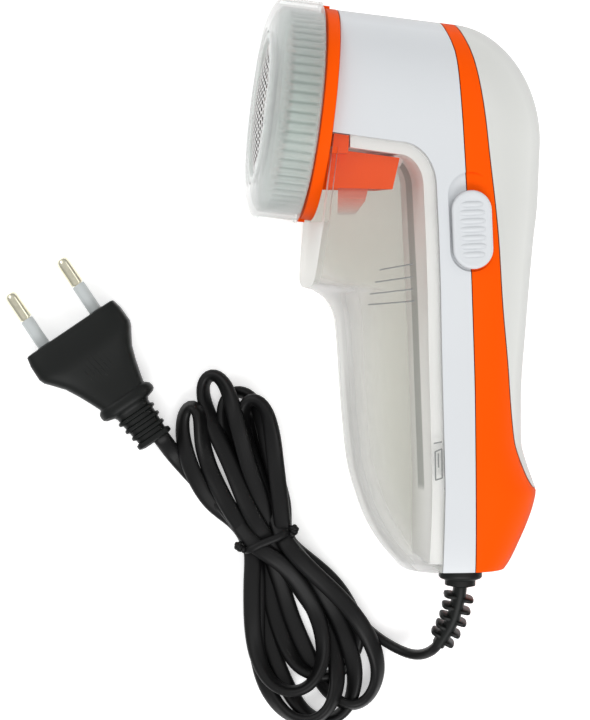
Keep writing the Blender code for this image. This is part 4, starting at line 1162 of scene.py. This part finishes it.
def make_rear_shell():
    core = both(skin(COVER_WALL + GAP), prism("behind", parting(1.0) + BEHIND))
    band = parting(GAP / 2) + cover_line(-GAP / 2)[::-1] + [(60.0, -59.6), (60.0, -95.0)]
    shell = join(core, both(skin(), prism("band", band)))
    shell = cut(shell, both(skin(COVER_WALL + GAP + 1.7), prism("room", parting(-2.0) + BEHIND)))
    for y, z in BOSSES:
        start = curve_through(PARTING_LINE, y - 3.9) + GAP
        boss = rod("boss", (start, y, z), (SCREW_HEAD_X[y] + 4.0, y, z), REAR_BOSS, 24)
        shell = join(shell, both(boss, skin(COVER_WALL + GAP)))
        shell = join(shell, boss_rib(y, z, start + 0.3, SCREW_HEAD_X[y] + 3.0, COVER_WALL + GAP + 0.3))
        if y > 0.0:
            shell = cut(shell, rod("hole", (0.0, y, z), (60.0, y, z), CLEAR_HOLE, 16))
            shell = cut(shell, rod("well", (SCREW_HEAD_X[y], y, z), (60.0, y, z), SCREW_WELL, 24))
    for cutter in recess_cutters():
        shell = cut(shell, cutter)
    return coat(cut(shell, outlet_cutter()), "orange_casing")


def make_back_cover():
    region = prism("behind", cover_line(GAP / 2) + [(70.0, 95.0), (70.0, -59.6)])
    cover = coat(cut(both(skin(), region), skin(COVER_WALL)), "white_casing")
    cover.data.materials[0] = WARM_WHITE
    return cover


def make_chute():
    """The channel from the cutter to the box, with a step up to the seam and a soft mouth of painted shade.
    """
    side = [(collar_plane(41.0, 0.9), 41.0), (-0.6, 38.4), (-2.7, 29.4), (collar_plane(29.8, 0.9), 29.8)]
    chute = prism("chute", side, -CHUTE_HALF, CHUTE_HALF)
    room = [(-40.0, 50.0), (-3.4, 50.0), (-4.6, 31.0), (-11.2, 31.0), (-11.2, 10.0), (-40.0, 10.0)]
    chute = cut(chute, prism("room", room, -18.4, 18.4))
    chute = cut(chute, rod("sleeve_room", head_point(2.0), head_point(-30.0), MOTOR_RADIUS + 2.6, 32))
    step = [(collar_plane(39.5, 0.9), 39.5), (CHUTE_STEP_X - 0.3, 39.5), (CHUTE_STEP_X, 44.6),
            (collar_plane(45.2, 0.9), 45.2)]
    chute = join(chute, cut(both(skin(LEDGE_INSET), prism("step", step)), skin(8.6)))
    # The mouth: a thin sheet of darker orange that fades out downward, standing in for the chute's lower
    # part, its darkness painted shade.
    dark = [(-18.2, 30.1), (-9.4, 30.1), (-10.4, 26.0), (-13.4, 22.0), (-18.4, 22.0)]
    mouth = prism("mouth", dark, 17.9, 18.3)
    chute = coat(chute, "orange_casing")
    coat(mouth, "orange_casing")
    mesh = bmesh.new()
    mesh.from_mesh(chute.data)
    count = len(mesh.faces)
    mesh.from_mesh(mouth.data)
    mesh.faces.ensure_lookup_table()
    for face in mesh.faces[count:]:
        face.material_index = 1
    mesh.to_mesh(chute.data)
    mesh.free()
    chute.data.materials.append(MOUTH_SHADE)
    bpy.data.objects.remove(mouth, do_unlink=True)
    return chute


def make_lint_box():
    """The frosted box: its wall, and on the upper flank four raised grip lines and a latch."""
    edge = [point for point in box_seam(-GAP / 2) if point[0] > -20.0]
    outline = [(collar_plane(-95.0, LIP_SET_BACK), -95.0),
               (collar_plane(45.2, LIP_SET_BACK), 45.4 - GAP / 2)] + edge
    outside = both(skin(), prism("box_region", outline))
    tree = BVHTree.FromObject(outside, bpy.context.evaluated_depsgraph_get())
    inner = LIP_SET_BACK + BOX_WALL
    room = [(collar_plane(-95.0, inner), -95.0), (collar_plane(RIM_TOP, inner), RIM_TOP), (-90.0, RIM_TOP),
            (-90.0, 70.0), (70.0, 70.0), (70.0, -95.0)]
    doorway = [(-90.0, LIP_TOP), (collar_plane(LIP_TOP, inner + 0.5), LIP_TOP),
               (collar_plane(70.0, inner + 0.5), 70.0), (-90.0, 70.0)]
    box = cut(outside, both(skin(BOX_WALL), prism("room", room)))
    box = coat(cut(box, both(skin(RIM_DEPTH), prism("doorway", doorway))), "frosted_clear")
    mesh = bmesh.new()
    mesh.from_mesh(box.data)
    bmesh.ops.scale(mesh, vec=(1 / MM, 1 / MM, 1 / MM), verts=mesh.verts)
    for face in mesh.faces:
        # Faces of the box's lower half take the darker frosted copy: painted shade.
        face.material_index = 2 if face.calc_center_median().z < 0.0 else 0
    grips = len(mesh.faces)
    for start, end in GRIP_LINES + LATCH_LINES:
        points = []
        for share in np.linspace(0.0, 1.0, 14):
            x = start[0] + (end[0] - start[0]) * share
            y = start[1] + (end[1] - start[1]) * share
            hit = tree.ray_cast(Vector((x, y, 60.0)) * MM, Vector((0.0, 0.0, -1.0)))[0]
            points.append(hit / MM)
        add_tube(mesh, points, 0.2)
    mesh.faces.ensure_lookup_table()
    for face in mesh.faces[grips:]:
        face.material_index = 1
    bmesh.ops.scale(mesh, vec=(MM, MM, MM), verts=mesh.verts)
    mesh.to_mesh(box.data)
    box.data.materials.append(GRIP_SHADE)
    box.data.materials.append(FROST_PAINTED_SHADE)
    mesh.free()
    smooth(box.data, CRISP)
    return box


def named(obj, name):
    """Renames an object and its mesh."""
    obj.name = name
    obj.data.name = name
    return obj


piece(named(make_front_shell(), "casing_front"), "casing", "white_casing", "front_shell")
piece(named(make_rear_shell(), "casing_rear"), "casing", "orange_casing", "rear_shell")
piece(named(make_back_cover(), "casing_cover"), "casing", "white_casing", "back_cover")
piece(named(make_lint_box(), "frosted_box"), "lint_bin", "frosted_clear", "lint_box")
piece(named(make_chute(), "chute_channel"), "casing", "orange_casing", "lint_chute")


# ---------------------------------------------------------------- head: collar, net ring, net and guard

RIB_COUNT = 64
NET_RADIUS = 19.9
NET_OPEN_RADIUS = 18.3
NET_TOP = 20.0
NET_DOME = 2.2
NET_PITCH_X, NET_PITCH_Y = 1.9, 2.4
NET_HALF_X, NET_HALF_Y = 0.74, 0.98
NET_OPENING = ((-0.8, -0.6), (0.0, -1.0), (0.8, -0.6), (1.0, 0.5), (0.0, 1.0), (-1.0, 0.5))
NET_CELL = ((-0.5, -0.5), (0.0, -0.5), (0.5, -0.5), (0.5, 0.5), (0.0, 0.5), (-0.5, 0.5))


def make_collar():
    """The orange ring behind the guard, with a locating tab at its top and its bottom."""
    profile = [(25.4, 0.0), (30.7, 0.0), (30.95, 0.12), (31.0, 0.4), (31.0, 3.1), (30.9, 3.4), (30.6, 3.5),
               (27.1, 3.5), (27.1, 12.0), (25.4, 12.0)]
    collar = turned("collar", profile)
    for side in (-1, 1):
        collar = join(collar, block("tab", (30.4 * side - 1.3, -1.8, 2.0), (30.4 * side + 1.3, 1.8, 4.0)))
    return second_finish(coat(collar, "orange_casing", HEAD), PALE_SLEEVE, lambda x, y, t: t > 4.5)


def make_guard():
    """The clear distance guard: a smooth cylinder with a wide chamfer, a front rim and moulded steps."""
    profile = [(30.2, 4.4), (31.9, 4.4), (32.15, 4.6), (32.2, 4.9), (32.2, 16.2), (32.1, 16.6), (31.4, 17.5),
               (29.5, 18.5), (27.4, 19.15), (26.7, 19.3), (23.6, 19.4), (23.2, 19.1), (22.8, 19.1),
               (22.6, 18.9), (22.6, 18.0), (26.0, 17.9), (28.4, 17.1), (30.0, 15.9), (30.2, 15.4)]
    guard = turned("guard", profile)
    for side in (-1, 1):
        guard = join(guard, block("tab", (31.6 * side - 0.55, -7.0, 4.6), (31.6 * side + 0.55, 7.0, 16.0)))
    return coat(guard, "clear_ring", HEAD)


def make_net_ring():
    """The clear ring that holds the net, with fine grip ribs all round."""
    profile = [(27.4, 3.9), (29.3, 3.9), (29.6, 4.2), (29.6, 5.0), (29.6, 13.2), (29.5, 14.0), (28.2, 15.7),
               (22.3, 16.4), (22.1, 16.7), (22.1, 18.7), (21.9, 18.9), (20.5, 18.9), (20.3, 18.7),
               (20.3, 15.0), (26.4, 14.4), (27.4, 13.2)]

    def ripple(radius, t, angle):
        if radius > 29.45 and 4.9 < t < 13.5:
            return radius - 0.6 * (0.5 - 0.5 * math.cos(angle * RIB_COUNT)) ** 2
        return radius

    ring = turned("ribbed_ring", profile, RIB_COUNT * 6, "clear_ring", HEAD, ripple, 50.0)
    ring.data.materials[0] = RIBBED_CLEAR
    # The valleys between the ribs take the darker copy: painted shade.
    return second_finish(ring, RIB_VALLEY_SHADE, lambda x, y, t: 5.2 < t < 13.0 and 28.0 < math.hypot(x, y) < 29.25)


def make_net():
    """The thin domed shaving net: staggered rows of small six-sided openings inside a plain rim."""
    mesh = bmesh.new()
    seen = {}

    def vert(x, y):
        key = (round(x, 3), round(y, 3))
        if key not in seen:
            away = math.hypot(x, y) / NET_RADIUS
            seen[key] = mesh.verts.new((x, y, NET_TOP - NET_DOME * away * away))
        return seen[key]

    rows = int(NET_RADIUS / NET_PITCH_Y) + 2
    columns = int(NET_RADIUS / NET_PITCH_X) + 2
    for row in range(-rows, rows + 1):
        shift = NET_PITCH_X / 2 if row % 2 else 0.0
        for column in range(-columns, columns + 1):
            cx = column * NET_PITCH_X + shift
            cy = row * NET_PITCH_Y
            corners = [(cx + NET_PITCH_X * dx, cy + NET_PITCH_Y * dy) for dx, dy in NET_CELL]
            if min(math.hypot(x, y) for x, y in corners) > NET_RADIUS - 0.2:
                continue
            outer = [vert(x, y) for x, y in corners]
            if math.hypot(cx, cy) + NET_HALF_X > NET_OPEN_RADIUS:
                mesh.faces.new(outer)
                continue
            inner = [vert(cx + NET_HALF_X * dx, cy + NET_HALF_Y * dy) for dx, dy in NET_OPENING]
            for k in range(6):
                j = (k + 1) % 6
                mesh.faces.new((outer[k], outer[j], inner[j], inner[k]))
    for vertex in mesh.verts:
        away = math.hypot(vertex.co.x, vertex.co.y)
        if away > NET_RADIUS:
            vertex.co.x *= NET_RADIUS / away
            vertex.co.y *= NET_RADIUS / away
    net = new_object("net_sheet", mesh, "net_steel", None, 40.0)
    thick = net.modifiers.new("thick", "SOLIDIFY")
    thick.thickness = 0.12 * MM
    thick.offset = 0.0
    net.data = evaluated_mesh(net)
    net.modifiers.clear()
    net.matrix_world = HEAD
    return net


piece(named(make_collar(), "collar_ring"), "casing", "orange_casing", "head_collar")
piece(named(make_guard(), "clear_guard"), "guard", "clear_ring", "distance_guard")
piece(make_net_ring(), "net_head", "clear_ring", "net_ring")
piece(make_net(), "net_head", "net_steel", "shaving_net")


# ---------------------------------------------------------------- switch button

BUTTON_EDGE = [(25.5, 0.15), (25.7, 0.0), (27.7, 0.0), (28.05, 0.12), (28.3, 0.35), (28.45, 0.7), (28.5, 1.1),
               (28.25, 1.9), (28.2, 2.4)]
GRIP_BARS = 7
GRIP_PITCH = 2.4


def make_button():
    """The slide button: a rounded plate on its stem, with raised grip bars."""
    mesh = bmesh.new()
    add_rings(mesh, [[(x, y, z) for x, y in stadium(BUTTON_WIDTH - 2 * inset, BUTTON_LENGTH - 2 * inset)]
                     for z, inset in BUTTON_EDGE])
    low = button_point(-1.6, -2.6)
    high = button_point(1.6, 2.6)
    add_rings(mesh, [[(low[0], low[1], z), (high[0], low[1], z), (high[0], high[1], z), (low[0], high[1], z)]
                     for z in (20.6, 26.0)])
    middle = GRIP_BARS // 2
    for bar in range(-middle, middle + 1):
        reach = 3.6 if abs(bar) < middle else 3.1
        points = [Vector((*button_point(reach * share, bar * GRIP_PITCH), 27.95 - 0.6 * share**4))
                  for share in np.linspace(-1.0, 1.0, 13)]
        add_tube(mesh, points, 0.9, 16)
    return new_object("slide_button", mesh, "white_casing", POSE, 35.0)


piece(make_button(), "switch", "white_casing", "switch_button")


# ---------------------------------------------------------------- finishes of the CAD nodes that stay

for name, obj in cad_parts.items():
    slot = obj.data.materials[0].name.split(".")[0] if obj.data.materials else "?"
    if slot in FINISH:
        for index in range(len(obj.data.materials)):
            obj.data.materials[index] = FINISH[slot]
